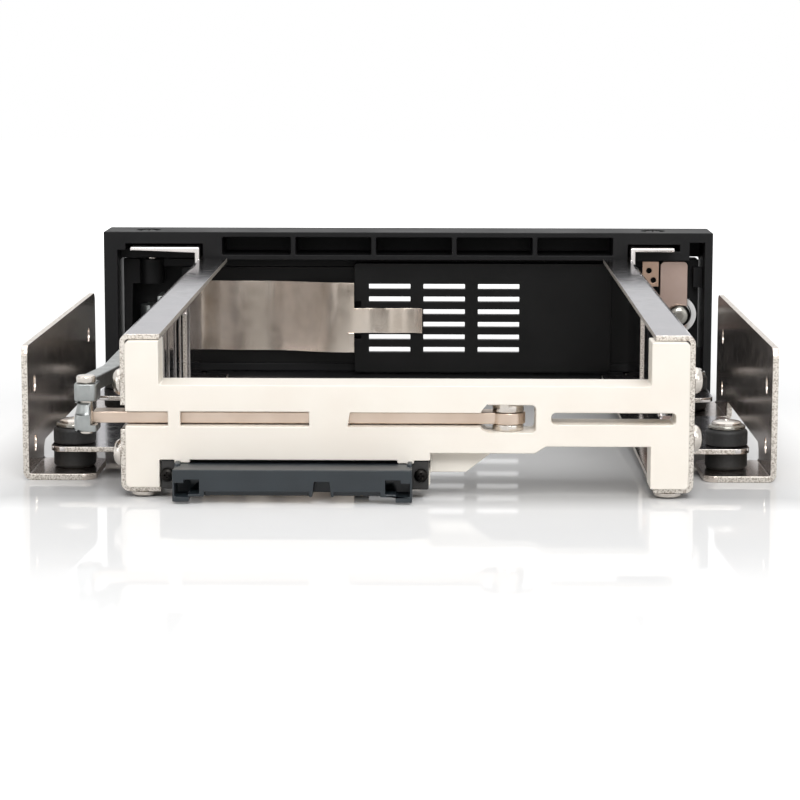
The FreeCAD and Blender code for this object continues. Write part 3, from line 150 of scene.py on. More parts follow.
@dataclass(frozen=True)
class Surface:
    """What every finish has: two near colours and a range of roughness.

    Attributes:
        name: the material's name.
        body: hex colour of its darker patches.
        high: hex colour of its lighter patches.
        roughness: roughness at the low and at the high values of its pattern.
    """

    name: str
    body: str
    high: str
    roughness: tuple[float, float]

    def wire(self, tree: bpy.types.NodeTree, shader: bpy.types.Node, tone: bpy.types.NodeSocket,
             sheen: bpy.types.NodeSocket, height: bpy.types.NodeSocket, depth_mm: float,
             span: tuple[float, float] = NOISE_SPAN) -> None:
        """Lead three patterns to a shader's colour, roughness and relief.

        Args:
            tree: the node tree.
            shader: the Principled shader.
            tone: pattern that mixes the two colours.
            sheen: pattern that sets the roughness.
            height: pattern that raises the surface.
            depth_mm: how high its peaks stand.
            span: values of tone that give the first colour and the second.
        """
        share = add_node(tree, "ShaderNodeMapRange", {"From Min": span[0], "From Max": span[1]},
                         {"Value": tone})
        tint = add_node(tree, "ShaderNodeMix",
                        {MIX_FIRST: linear(self.body), MIX_SECOND: linear(self.high)},
                        {0: share.outputs["Result"]}, data_type="RGBA")
        gloss = add_node(tree, "ShaderNodeMapRange",
                         {"From Min": NOISE_SPAN[0], "From Max": NOISE_SPAN[1],
                          "To Min": self.roughness[0], "To Max": self.roughness[1]},
                         {"Value": sheen})
        raised = add_node(tree, "ShaderNodeBump", {"Strength": 1.0, "Distance": depth_mm * MM},
                          {"Height": height})
        for socket, name in ((tint.outputs[MIX_RESULT], "Base Color"),
                             (gloss.outputs["Result"], "Roughness"),
                             (raised.outputs["Normal"], "Normal")):
            tree.links.new(socket, shader.inputs[name])


@dataclass(frozen=True)
class MouldedPlastic(Surface):
    """Injection-moulded plastic: a fine spark-eroded grain under a soft sheen.

    Attributes:
        grain_mm: width of the grain.
        grain_depth_mm: its depth.
        specular: specular level.
        cloud_mm: width of the patches of colour and roughness.
    """

    grain_mm: float
    grain_depth_mm: float
    specular: float = 0.5
    cloud_mm: float = 14.0

    def build(self) -> bpy.types.Material:
        """Build the material.

        Returns:
            The new material.
        """
        material, tree, shader = blank_material(self.name)
        shader.inputs["Specular IOR Level"].default_value = self.specular
        place = add_node(tree, "ShaderNodeTexCoord").outputs["Object"]
        clouds = add_node(tree, "ShaderNodeTexNoise",
                          {"Scale": 1 / (self.cloud_mm * MM), "Detail": 3.0},
                          {"Vector": place}).outputs["Fac"]
        grain = add_node(tree, "ShaderNodeTexNoise",
                         {"Scale": 1 / (self.grain_mm * MM), "Detail": 2.0},
                         {"Vector": place}).outputs["Fac"]
        self.wire(tree, shader, clouds, clouds, grain, self.grain_depth_mm)
        return material


@dataclass(frozen=True)
class PlatedSheet(Surface):
    """Bright plating over rolled steel: a warm mirror with faint waves across the rolling.

    Attributes:
        rolled: direction of the rolling.
        wave_mm: width of the waves.
        wave_depth_mm: their depth.
        stretch: their width over their length along the rolling.
        grazing: hex colour of what is mirrored along the surface.
        cloud_mm: width of the patches of colour.
        speck_mm: width of the duller specks.
    """

    rolled: Axis
    wave_mm: float = 6.0
    wave_depth_mm: float = 0.004
    stretch: float = 0.12
    grazing: str = "ffffff"
    cloud_mm: float = 9.0
    speck_mm: float = 2.5

    def build(self) -> bpy.types.Material:
        """Build the material: waves bend the reflections, and specks dull them a little.

        Returns:
            The new material.
        """
        material, tree, shader = blank_material(self.name)
        shader.inputs["Metallic"].default_value = 1.0
        shader.inputs["Specular Tint"].default_value = linear(self.grazing)
        place = add_node(tree, "ShaderNodeTexCoord").outputs["Object"]
        along = add_node(tree, "ShaderNodeMapping",
                         {"Scale": [self.stretch if axis is self.rolled else 1.0
                                    for axis in Axis]}, {"Vector": place}).outputs["Vector"]
        waves = add_node(tree, "ShaderNodeTexNoise",
                         {"Scale": 1 / (self.wave_mm * MM), "Detail": 2.0},
                         {"Vector": along}).outputs["Fac"]
        clouds = add_node(tree, "ShaderNodeTexNoise",
                          {"Scale": 1 / (self.cloud_mm * MM), "Detail": 3.0},
                          {"Vector": place}).outputs["Fac"]
        specks = add_node(tree, "ShaderNodeTexNoise",
                          {"Scale": 1 / (self.speck_mm * MM), "Detail": 2.0},
                          {"Vector": place}).outputs["Fac"]
        self.wire(tree, shader, clouds, specks, waves, self.wave_depth_mm)
        return material


@dataclass(frozen=True)
class ShearedEdge(Surface):
    """Cut edge of plated sheet: torn and pitted, so it glitters from place to place.

    Attributes:
        pit_mm: width of the pits.
        pit_depth_mm: their depth.
        pit_span: values of the pattern between which pits turn to bright metal.
    """

    pit_mm: float
    pit_depth_mm: float
    pit_span: tuple[float, float] = (0.36, 0.56)

    def build(self) -> bpy.types.Material:
        """Build the material: pale metal with dark pits.

        Returns:
            The new material.
        """
        material, tree, shader = blank_material(self.name)
        shader.inputs["Metallic"].default_value = 1.0
        place = add_node(tree, "ShaderNodeTexCoord").outputs["Object"]
        pits = add_node(tree, "ShaderNodeTexNoise",
                        {"Scale": 1 / (self.pit_mm * MM), "Detail": 5.0},
                        {"Vector": place}).outputs["Fac"]
        self.wire(tree, shader, pits, pits, pits, self.pit_depth_mm, self.pit_span)
        return material


@dataclass(frozen=True)
class PebbledSkin(Surface):
    """Cast, tumbled or rubbery skin: dull, with fine pebbles.

    Attributes:
        pebble_mm: width of the pebbles.
        pebble_depth_mm: their depth.
        metallic: 1 for metal, 0 for rubber.
        cloud_mm: width of the patches of colour.
    """

    pebble_mm: float
    pebble_depth_mm: float
    metallic: float = 1.0
    cloud_mm: float = 3.0

    def build(self) -> bpy.types.Material:
        """Build the material.

        Returns:
            The new material.
        """
        material, tree, shader = blank_material(self.name)
        shader.inputs["Metallic"].default_value = self.metallic
        place = add_node(tree, "ShaderNodeTexCoord").outputs["Object"]
        pebbles = add_node(tree, "ShaderNodeTexNoise",
                           {"Scale": 1 / (self.pebble_mm * MM), "Detail": 3.0},
                           {"Vector": place}).outputs["Fac"]
        clouds = add_node(tree, "ShaderNodeTexNoise",
                          {"Scale": 1 / (self.cloud_mm * MM), "Detail": 3.0},
                          {"Vector": place}).outputs["Fac"]
        self.wire(tree, shader, clouds, pebbles, pebbles, self.pebble_depth_mm)
        return material


class Finish(Enum):
    """Finishes that the pieces are given, each with its material slot."""

    # ABS from a spark-eroded mould: near black, with a broad soft sheen and no mirror in it. A
    # real grain of about 0.05 mm would not show, so it is drawn 0.35 mm wide.
    BLACK_ABS = Slot.BLACK_ABS, MouldedPlastic(
        "black_ABS_moulded", "0b0b0c", "111112", (0.48, 0.58),
        grain_mm=0.35, grain_depth_mm=0.006, specular=0.2)
    # ABS from a smoother mould: the inner panel is as dark, and shows a tighter sheen. Its grain
    # is drawn about ten times coarser than real.
    DARK_LINER = Slot.BLACK_ABS, MouldedPlastic(
        "black_ABS_polished", "090909", "0e0e0e", (0.3, 0.4),
        grain_mm=0.5, grain_depth_mm=0.004, specular=0.2)
    # ABS dyed ivory: a plain pale body whose edges catch a warm light. Its grain is drawn about
    # ten times coarser than real.
    IVORY_ABS = Slot.IVORY_ABS, MouldedPlastic(
        "ivory_ABS_moulded", "ede5da", "f1ebe1", (0.36, 0.44),
        grain_mm=0.5, grain_depth_mm=0.003)
    # Steel, cold rolled and nickel plated: a slightly warm mirror, cooler where it is seen
    # along its face, with reflections that waver along the rolling.
    NICKEL = Slot.NICKEL_SHEET, PlatedSheet(
        "nickel_plated_sheet", "c3bfbd", "cdc8c5", (0.1, 0.16), Axis.Y,
        wave_mm=9.0, wave_depth_mm=0.004, grazing="dcdde1")
    # The same sheet, tumbled before plating: it blurs what it mirrors and so looks warmer.
    BRACKET = Slot.NICKEL_SHEET, PlatedSheet(
        "nickel_plated_bracket", "d8cdc3", "e2d9d0", (0.17, 0.23), Axis.Y,
        wave_mm=9.0, wave_depth_mm=0.004, grazing="dcdde1")
    # The sheet's sheared edge: half burnished, half torn, which glitters grey and white. Tears
    # of about 0.1 mm would not show, so they are drawn 0.32 mm wide.
    SHEARED = Slot.NICKEL_SHEET, ShearedEdge(
        "sheared_nickel_edge", "a39a90", "dcd6ce", (0.5, 0.28), pit_mm=0.32, pit_depth_mm=0.02)
    # Spring steel, rolled thin and left bright: a warm, blurred mirror with upright bands.
    SPRING = Slot.SPRING_STEEL, PlatedSheet(
        "rolled_spring_steel", "e4d7c9", "efe4d8", (0.17, 0.24), Axis.Z, wave_depth_mm=0.012)
    # Spring steel, hardened and ground along its length: brownish, dull, with fine streaks.
    # Grinding marks of about 0.05 mm would not show, so they are drawn 0.8 mm apart.
    LEVER = Slot.SPRING_STEEL, PlatedSheet(
        "hardened_lever_steel", "c3b0a0", "d2c1b2", (0.3, 0.4), Axis.X,
        wave_mm=0.8, wave_depth_mm=0.012, stretch=0.05)
    # Cold-headed steel, nickel plated: bright domes with small dull patches.
    SCREW = Slot.SCREW_STEEL, PlatedSheet(
        "nickel_plated_screw_steel", "c5beb6", "d3cdc6", (0.14, 0.24), Axis.Z,
        wave_mm=1.2, stretch=1.0)
    # Cold-headed steel, dark: heads that show only by the sheen on their rims. The bezel's screws
    # are blackened; on the connector's ear screws the dark colour is painted shade, as they sit in
    # the ears' shaded recesses.
    DARK_SCREW = Slot.SCREW_STEEL, PebbledSkin(
        "blackened_and_painted_shade_screw_steel", "1c1b1a", "2b2927", (0.35, 0.5),
        pebble_mm=0.3, pebble_depth_mm=0.004)
    # Turned steel, zinc plated: greyer than the nickel, and a little clouded.
    ZINC = Slot.ZINC_PLATE, PlatedSheet(
        "zinc_plated_steel", "85837d", "96948e", (0.16, 0.28), Axis.Z,
        wave_mm=1.5, stretch=1.0)
    # Blanked steel, zinc plated and passivated: a flat rosy grey with hardly a reflection.
    CAM = Slot.ZINC_PLATE, PlatedSheet(
        "zinc_plated_cam", "a38f85", "ae9b92", (0.36, 0.4), Axis.Z,
        wave_mm=12.0, wave_depth_mm=0.002)
    # Zinc, die cast and tumbled: bluish grey and dull. Its pebbles of about 0.2 mm are drawn
    # 0.8 mm wide.
    CASTING = Slot.ZINC_CASTING, PebbledSkin(
        "die_cast_zinc", "8c8f8e", "a2a5a4", (0.3, 0.42), pebble_mm=0.8, pebble_depth_mm=0.01)
    # Glass-filled polyester, moulded: dark slate blue, with a faint mottle from the fibres.
    SLATE = Slot.SLATE_PLASTIC, MouldedPlastic(
        "glass_filled_polyester", "1b2125", "262d32", (0.3, 0.42),
        grain_mm=0.4, grain_depth_mm=0.008)
    # The same plastic, painted brown-black and duller as shade: the connector's ears sit in the
    # rear frame's recesses, in shade.
    SLATE_PAINTED_SHADE = Slot.SLATE_PLASTIC, MouldedPlastic(
        "glass_filled_polyester_painted_shade", "1d1c1b", "262423", (0.36, 0.48),
        grain_mm=0.4, grain_depth_mm=0.008)
    # Blanked steel, passivated brown: a dull tan plate.
    BROWN_STAY = Slot.ZINC_PLATE, PlatedSheet(
        "passivated_stay_plate", "a58a78", "b79d8b", (0.3, 0.4), Axis.Z, wave_mm=3.0)
    # Bronze, stamped and flashed with gold: small yellow glints.
    GOLD = Slot.GOLD_CONTACT, PebbledSkin(
        "gold_flashed_bronze", "c9a055", "d8b468", (0.2, 0.35),
        pebble_mm=0.3, pebble_depth_mm=0.004)
    # Zinc, polished and chromed: the one sharp neutral mirror, round the keyway.
    CHROME = Slot.LOCK_CHROME, PlatedSheet(
        "chromed_zinc_lock", "c4c4c4", "d2d2d2", (0.06, 0.12), Axis.Z,
        wave_mm=3.0, wave_depth_mm=0.002, stretch=1.0)
    # Rubber, moulded: black with a chalky bloom. Its bloom's specks are drawn 0.6 mm wide,
    # several times their real size.
    RUBBER = Slot.RUBBER, PebbledSkin(
        "moulded_rubber", "131313", "1b1b1b", (0.5, 0.66),
        pebble_mm=0.6, pebble_depth_mm=0.012, metallic=0.0)

    @property
    def slot(self) -> Slot:
        """Material slot of the record."""
        return self.value[0]


# ---------------------------------------------------------------- workshop

@dataclass(frozen=True)
class Block:
    """A rectangular block between two corners, in mm."""

    low: tuple[float, float, float]
    high: tuple[float, float, float]

    def add_to(self, bm: bmesh.types.BMesh) -> None:
        """Add the block to a shape.

        Args:
            bm: the shape.
        """
        low, high = Vector(self.low) * MM, Vector(self.high) * MM
        corners = bmesh.ops.create_cube(bm, size=1.0)["verts"]
        bmesh.ops.scale(bm, vec=high - low, verts=corners)
        bmesh.ops.translate(bm, vec=(low + high) / 2, verts=corners)

    def holds(self, point: Vector) -> bool:
        """Tell whether a point in metres lies in the block."""
        return all(low * MM <= part <= high * MM
                   for low, part, high in zip(self.low, point, self.high))

    def shape(self) -> bmesh.types.BMesh:
        """Give the block as a shape of its own."""
        bm = bmesh.new()
        self.add_to(bm)
        return bm


@dataclass
class Workshop:
    """Finished materials, and the ways in which pieces enter the scene.

    Attributes:
        materials: the material of each finish.
        sharp_deg: angle past which an edge is rounded.
        smooth_deg: angle past which an edge is shaded as a crease.
        flat_deg: angle up to which neighbouring triangles are one face.
        merge_mm: distance within which two points are one.
        room_share: room that a rounded edge needs beside it, in radii.
        in_line: cosine past which two edges follow one another and need no room.
        edge_steps: faces across a rounded edge.
        fold_steps: faces across the rounder edge of a folded sheet.
    """

    materials: dict[Finish, bpy.types.Material]
    sharp_deg: float = 32.0
    smooth_deg: float = 35.0
    flat_deg: float = 0.5
    merge_mm: float = 0.001
    room_share: float = 2.2
    in_line: float = 0.8
    edge_steps: int = 2
    fold_steps: int = 4

    def add(self, name: str, bm: bmesh.types.BMesh, body: Body, *finishes: Finish,
            replaced: tuple[str, ...] = ()) -> bpy.types.Object:
        """Turn a bmesh into a smooth-shaded piece that rides on a body.

        Args:
            name: the piece's name.
            bm: its shape in metres; freed here.
            body: the body that it moves with.
            *finishes: its finishes, in the order of its faces' material numbers.
            replaced: nodes that it stands for.

        Returns:
            The new object.
        """
        mesh = bpy.data.meshes.new(name)
        bm.to_mesh(mesh)
        bm.free()
        for finish in finishes:
            mesh.materials.append(self.materials[finish])
        mesh.shade_smooth()
        mesh.set_sharp_from_angle(angle=math.radians(self.smooth_deg))
        piece = bpy.data.objects.new(name, mesh)
        bpy.context.scene.collection.objects.link(piece)
        normals = piece.modifiers.new("weighted_normals", "WEIGHTED_NORMAL")
        normals.keep_sharp = True
        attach(piece, body.value)
        if replaced:
            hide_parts(*replaced)
        LOG.info("%s rides on %s", name, body.value)
        return piece

    def copy_node(self, node: str, pockets: tuple[Block, ...] = ()) -> bmesh.types.BMesh:
        """Copy a node's mesh with its triangles merged into whole faces.

        Args:
            node: the node.
            pockets: blocks of space that are cut out of the copy.

        Returns:
            The merged copy.
        """
        bm = bmesh.new()
        bm.from_mesh(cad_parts[node].data)
        bmesh.ops.remove_doubles(bm, verts=bm.verts, dist=self.merge_mm * MM)
        for pocket in pockets:
            bm = self.carve(bm, pocket.shape())
        bmesh.ops.dissolve_limit(bm, angle_limit=math.radians(self.flat_deg), verts=bm.verts[:],
                                 edges=bm.edges[:])
        return bm

    def carve(self, bm: bmesh.types.BMesh, cutter: bmesh.types.BMesh) -> bmesh.types.BMesh:
        """Cut one closed shape out of another.

        Args:
            bm: the shape that is cut; freed here.
            cutter: the shape that cuts; freed here.

        Returns:
            What is left.
        """
        pair = []
        for label, shape in (("stock", bm), ("cutter", cutter)):
            mesh = bpy.data.meshes.new(label)
            shape.to_mesh(mesh)
            shape.free()
            pair.append(bpy.data.objects.new(label, mesh))
            bpy.context.scene.collection.objects.link(pair[-1])
        stock, knife = pair
        cut = stock.modifiers.new("cut", "BOOLEAN")
        cut.operation, cut.solver, cut.object = "DIFFERENCE", "EXACT", knife
        bpy.context.view_layer.update()
        graph = bpy.context.evaluated_depsgraph_get()
        result = bpy.data.meshes.new_from_object(stock.evaluated_get(graph))
        left = bmesh.new()
        left.from_mesh(result)
        bmesh.ops.remove_doubles(left, verts=left.verts, dist=self.merge_mm * MM)
        for item in pair:
            bpy.data.meshes.remove(item.data)
        bpy.data.meshes.remove(result)
        return left

    def soften(self, node: str, body: Body, finish: Finish, edge_mm: float,
               sheared: Finish | None = None, sheet_mm: float = 1.05,
               pockets: tuple[Block, ...] = (),
               shift_mm: tuple[float, float, float] = (0, 0, 0),
               folds: tuple[Block, ...] = (), fold_mm: float = 0.3) -> bpy.types.Object:
        """Replace a node by a copy of it whose sharp edges are rounded.

        Args:
            node: the node.
            body: the body that it moves with.
            finish: its finish.
            edge_mm: radius of the rounded edges.
            sheared: finish of the sheet's cut edges, if it is sheet metal.
            sheet_mm: widest face that counts as a cut edge.
            pockets: blocks of space cut out of the copy.
            shift_mm: how far the copy is moved.
            folds: spaces in which the sheet is folded, so that its edges are rounder there.
            fold_mm: radius of those edges.

        Returns:
            The new object.
        """
        bm = self.copy_node(node, pockets)
        bmesh.ops.translate(bm, vec=Vector(shift_mm) * MM, verts=bm.verts)
        if sheared:
            for face in bm.faces:
                folded = any(fold.holds(face.calc_center_median()) for fold in folds)
                face.material_index = int(not folded and self.is_cut_edge(face, sheet_mm * MM))
        folded = [edge for edge in bm.edges if self.can_round(edge, fold_mm * MM)
                  and any(all(fold.holds(vert.co) for vert in edge.verts) for fold in folds)]
        self.round_off(bm, folded, fold_mm, self.fold_steps)
        self.round_off(bm, [edge for edge in bm.edges if self.can_round(edge, edge_mm * MM)],
                       edge_mm, self.edge_steps)
        finishes = (finish, sheared) if sheared else (finish,)
        return self.add(f"{node}_finished", bm, body, *finishes, replaced=(node,))

    @staticmethod
    def round_off(bm: bmesh.types.BMesh, edges: list, radius_mm: float, segments: int) -> None:
        """Round some edges of a shape, and keep every point within the shape's own box.

        Args:
            bm: the shape.
            edges: its edges to round.
            radius_mm: their radius.
            segments: faces across each rounded edge.
        """
        low = [min(vert.co[i] for vert in bm.verts) for i in range(3)]
        high = [max(vert.co[i] for vert in bm.verts) for i in range(3)]
        bmesh.ops.bevel(bm, geom=edges, offset=radius_mm * MM, offset_type="OFFSET",
                        segments=segments, profile=0.5, affect="EDGES", clamp_overlap=False,
                        material=-1)
        for vert in bm.verts:
            vert.co = [max(a, min(b, part)) for a, part, b in zip(low, vert.co, high)]

    def can_round(self, edge: bmesh.types.BMEdge, radius: float) -> bool:
        """Tell whether an edge is sharp and has room beside it for a radius.

        Args:
            edge: the edge.
            radius: the radius in metres.

        Returns:
            True where the edge can be rounded.
        """
        if len(edge.link_faces) != 2 or edge.calc_face_angle(0.0) < math.radians(self.sharp_deg):
            return False
        for vert in edge.verts:
            along = (edge.other_vert(vert).co - vert.co).normalized()
            for other in vert.link_edges:
                if other is edge:
                    continue
                reach = other.other_vert(vert).co - vert.co
                straight = abs(reach.normalized().dot(along)) > self.in_line
                if not straight and reach.length < self.room_share * radius:
                    return False
        return True

    def is_cut_edge(self, face: bmesh.types.BMFace, width: float) -> bool:
        """Tell whether a face is a narrow strip between two sharp edges.

        Args:
            face: the face.
            width: the sheet's thickness in metres.

        Returns:
            True for a cut edge of the sheet.
        """
        if 2 * face.calc_area() / face.calc_perimeter() > width:
            return False
        long_edges = sorted(face.edges, key=lambda e: -e.calc_length())[:2]
        return all(len(e.link_faces) == 2 and e.calc_face_angle(0.0) > math.radians(self.sharp_deg)
                   for e in long_edges)


@dataclass(frozen=True)
class CrossScrews:
    """Screws with domed heads and a cross recess, in the places of a node's plain ones.

    Attributes:
        node: the node that holds the plain screws.
        axis: direction of their shanks.
        finish: their finish.
        body: the body that they ride on.
        dome_share: share of a head's height that is domed.
        slot_mm: width of the cross recess.
        slot_depth_mm: its depth.
        shift_mm: how far the screws are moved.
        sides: sides of a head.
        rim_share: share of a head's radius past which its rim is looked for.
        dome_steps: how far each step of the dome goes in, in radii, and up, in domes.
        slot_taper: width of the recess's floor over that of its mouth.
        shank_share: radius of a shank over that of its head.
        shank_sides: sides of a shank.
        tip_share: radius of a shank's tip over that of its root.
        flat_share: upright part of the normal of a face that counts as flat.
        touch: distance in metres within which a point lies in a plane.
    """

    node: str
    axis: Axis
    finish: Finish
    body: Body = Body.CHASSIS
    dome_share: float = 0.7
    slot_mm: float = 0.55
    slot_depth_mm: float = 0.7
    shift_mm: tuple[float, float, float] = (0, 0, 0)
    sides: int = 40
    rim_share: float = 0.9
    dome_steps: tuple[tuple[float, float], ...] = ((0.12, 0.5), (0.2, 0.35), (0.22, 0.15))
    slot_taper: float = 0.62
    shank_share: float = 0.46
    shank_sides: int = 20
    tip_share: float = 0.8
    flat_share: float = 0.99
    touch: float = 1e-7

    def build(self, shop: Workshop) -> None:
        """Measure each plain screw and build its detailed twin.

        Args:
            shop: the workshop.
        """
        plain = shop.copy_node(self.node)
        whole = bmesh.new()
        for island in self.islands(plain):
            self.screw(whole, [vert.co.copy() for vert in island])
        plain.free()
        bmesh.ops.translate(whole, vec=Vector(self.shift_mm) * MM, verts=whole.verts)
        shop.add(f"{self.node}_crossed", whole, self.body, self.finish, replaced=(self.node,))

    @staticmethod
    def islands(bm: bmesh.types.BMesh) -> list[set]:
        """Split a shape's vertices into connected sets.

        Args:
            bm: the shape.

        Returns:
            One set of vertices for each separate solid.
        """
        found: list[set] = []
        for start in bm.verts:
            if any(start in island for island in found):
                continue
            reached, fresh = set(), {start}
            while fresh:
                reached |= fresh
                fresh = {edge.other_vert(vert) for vert in fresh
                         for edge in vert.link_edges} - reached
            found.append(reached)
        return found

    def screw(self, bm: bmesh.types.BMesh, points: list[Vector]) -> None:
        """Build one screw in the room of a plain one.

        Args:
            bm: the shape that it is added to.
            points: the plain screw's vertices.
        """
        a = self.axis.value
        low = [min(point[i] for point in points) for i in range(3)]
        high = [max(point[i] for point in points) for i in range(3)]
        middle = Vector((x + y for x, y in zip(low, high))) / 2
        others = [i for i in range(3) if i != a]
        radius = (high[others[0]] - low[others[0]]) / 2
        wide = [point[a] for point in points
                if math.dist([point[i] for i in others], [middle[i] for i in others])
                > radius * self.rim_share]
        toward = 1 if sum(wide) / len(wide) > middle[a] else -1
        seat = min(wide) if toward > 0 else max(wide)
        tip, crown = (low[a], high[a]) if toward > 0 else (high[a], low[a])
        rise = abs(crown - seat)
        made = self.head(bm, radius, rise)
        made += self.shank(bm, radius * self.shank_share, abs(seat - tip))
        turn = Vector((0, 0, 1)).rotation_difference(
            Vector([toward if i == a else 0 for i in range(3)])).to_matrix().to_4x4()
        foot = middle.copy()
        foot[a] = seat
        bmesh.ops.transform(bm, matrix=Matrix.Translation(foot) @ turn, verts=made)

    def head(self, bm: bmesh.types.BMesh, radius: float, rise: float) -> list:
        """Raise a domed head from a disc and press a cross into it.

        Args:
            bm: the shape that it is added to.
            radius: the head's radius in metres.
            rise: its height in metres.

        Returns:
            The head's vertices.
        """
        before = set(bm.verts)
        disc = bmesh.ops.create_circle(bm, cap_ends=True, radius=radius, segments=self.sides)
        base = disc["verts"][0].link_faces[0]
        if base.normal.z > 0:
            base.normal_flip()
        up = bmesh.ops.extrude_face_region(bm, geom=[base])["geom"]
        top = next(item for item in up if isinstance(item, bmesh.types.BMFace))
        top.normal_flip()
        bmesh.ops.translate(bm, vec=(0, 0, rise * (1 - self.dome_share)), verts=top.verts)
        for share, height in self.dome_steps:
            bmesh.ops.inset_region(bm, faces=[top], thickness=radius * share,
                                   depth=0.0, use_even_offset=True)
            bmesh.ops.translate(bm, vec=(0, 0, rise * self.dome_share * height), verts=top.verts)
        self.cross(bm, top)
        made = [vert for vert in bm.verts if vert not in before]
        faces = dict.fromkeys(face for vert in made for face in vert.link_faces)
        bmesh.ops.recalc_face_normals(bm, faces=list(faces))
        return made

    def cross(self, bm: bmesh.types.BMesh, top: bmesh.types.BMFace) -> None:
        """Press a cross recess into a flat round face.

        Args:
            bm: the shape.
            top: the face.
        """
        half, level = self.slot_mm * MM / 2, top.verts[0].co.z
        for normal in ((1, 0, 0), (0, 1, 0)):
            for sign in (-1, 1):
                flat = self.flat_faces(bm, level)
                rims = [part for face in flat for part in (*face.edges, *face.verts)]
                bmesh.ops.bisect_plane(bm, geom=flat + list(dict.fromkeys(rims)), dist=self.touch,
                                       plane_co=Vector(normal) * half * sign, plane_no=normal)
        arms = [face for face in self.flat_faces(bm, level)
                if min(abs(part) for part in face.calc_center_median().xy) < half]
        pressed = bmesh.ops.extrude_face_region(bm, geom=arms)["geom"]
        bmesh.ops.delete(bm, geom=arms, context="FACES")
        floor = [item for item in pressed if isinstance(item, bmesh.types.BMVert)]
        bmesh.ops.translate(bm, vec=(0, 0, -self.slot_depth_mm * MM), verts=floor)
        bmesh.ops.scale(bm, vec=(self.slot_taper, self.slot_taper, 1), verts=floor)

    def flat_faces(self, bm: bmesh.types.BMesh, level: float) -> list:
        """Give the flat faces at one height.

        Args:
            bm: the shape.
            level: the height in metres.

        Returns:
            The faces.
        """
        return [face for face in bm.faces if abs(face.normal.z) > self.flat_share
                and abs(face.calc_center_median().z - level) < self.touch]

    def shank(self, bm: bmesh.types.BMesh, radius: float, length: float) -> list:
        """Add a shank below the head: a slightly tapered rod.

        Args:
            bm: the shape that it is added to.
            radius: its radius in metres.
            length: its length in metres.

        Returns:
            The shank's vertices.
        """
        rod = bmesh.ops.create_cone(bm, cap_ends=True, segments=self.shank_sides,
                                    radius1=radius * self.tip_share, radius2=radius,
                                    depth=length)["verts"]
        bmesh.ops.translate(bm, vec=(0, 0, -length / 2), verts=rod)
        return rod


# ---------------------------------------------------------------- sub-assemblies

@dataclass
class BezelShell:
    """Moulded bezel, its two ear screws and the door's hinge pins."""

    edge_mm: float = 0.2
    pin_edge_mm: float = 0.1
    screw_dome_share: float = 0.4

    def build(self, shop: Workshop) -> None:
        """Build the bezel's pieces.

        Args:
            shop: the workshop.
        """
        shop.soften("bezel_frame", Body.CHASSIS, Finish.BLACK_ABS, self.edge_mm)
        CrossScrews("bezel_screws", Axis.Z, Finish.DARK_SCREW,
                    dome_share=self.screw_dome_share).build(shop)
        for end in ("upper", "lower"):
            shop.soften(f"hinge_pin_{end}", Body.CHASSIS, Finish.SCREW, self.pin_edge_mm)


@dataclass
class RailPair:
    """Nickel-plated rails, with pressed ribs inside, and the screws through them."""

    edge_mm: float = 0.1
    rib_reach_mm: float = 0.35
    rib_width_mm: float = 0.6
    rib_root_mm: float = 0.2
    rib_round_share: float = 0.6
    rib_spots_mm: tuple[float, ...] = (-15.6, -5.7, 8.8, 19.7, 40.4)
    wall_mm: float = 50.4
    post_screw_dome_share: float = 0.4
    post_screw_slot_depth_mm: float = 0.4
    rib_low_mm: float = 9.0
    rib_high_mm: float = 31.5
    folds: tuple[Block, ...] = (Block((-80, 60, 34.6), (80, 95, 45)),)

    def build(self, shop: Workshop) -> None:
        """Build the rails, their ribs and screws.

        Args:
            shop: the workshop.
        """
        for side in ("left", "right"):
            shop.soften(f"rail_{side}", Body.CHASSIS, Finish.NICKEL, self.edge_mm,
                        Finish.SHEARED, folds=self.folds)
        self.ribs(shop)
        CrossScrews("frame_side_screws", Axis.X, Finish.SCREW).build(shop)
        CrossScrews("post_screws", Axis.Z, Finish.SCREW, dome_share=self.post_screw_dome_share,
                    slot_depth_mm=self.post_screw_slot_depth_mm).build(shop)

    def ribs(self, shop: Workshop) -> None:
        """Press low upright ribs on the left rail's inner wall.

        Args:
            shop: the workshop.
        """
        bm = bmesh.new()
        half = self.rib_width_mm / 2
        for y in self.rib_spots_mm:
            Block((-self.wall_mm - self.rib_root_mm, y - half, self.rib_low_mm),
                  (-self.wall_mm + self.rib_reach_mm, y + half, self.rib_high_mm)).add_to(bm)
        bmesh.ops.bevel(bm, geom=bm.edges[:], segments=3, profile=0.5, affect="EDGES",
                        offset=self.rib_reach_mm * MM * self.rib_round_share,
                        offset_type="OFFSET", clamp_overlap=True, material=-1)
        shop.add("rail_left_ribs", bm, Body.CHASSIS, Finish.NICKEL)


@dataclass
class RearFrame:
    """Ivory cross frame, with recesses for the connector's ears."""

    edge_mm: float = 0.22
    rear_mm: float = -83.5
    beyond_mm: float = 1.0
    recess_floor_mm: float = -80.5
    recess_low_mm: float = 5.0
    recess_top_mm: float = 12.0
    left_recess_mm: tuple[float, float] = (-44.0, -41.25)
    right_recess_mm: tuple[float, float] = (3.05, 6.2)

    def build(self, shop: Workshop) -> None:
        """Build the frame.

        Args:
            shop: the workshop.
        """
        recesses = tuple(
            Block((start, self.rear_mm - self.beyond_mm, self.recess_low_mm),
                  (end, self.recess_floor_mm, self.recess_top_mm))
            for start, end in (self.left_recess_mm, self.right_recess_mm))
        shop.soften("rear_frame", Body.CHASSIS, Finish.IVORY_ABS, self.edge_mm,
                    pockets=recesses)


@dataclass
class BracketPair:
    """Side brackets that carry the cage in its bay."""

    edge_mm: float = 0.12
    sheet_mm: float = 1.5

    def build(self, shop: Workshop) -> None:
        """Build both brackets.

        Args:
            shop: the workshop.
        """
        for side in ("left", "right"):
            shop.soften(f"side_bracket_{side}", Body.CHASSIS, Finish.BRACKET, self.edge_mm,
                        Finish.SHEARED, self.sheet_mm)


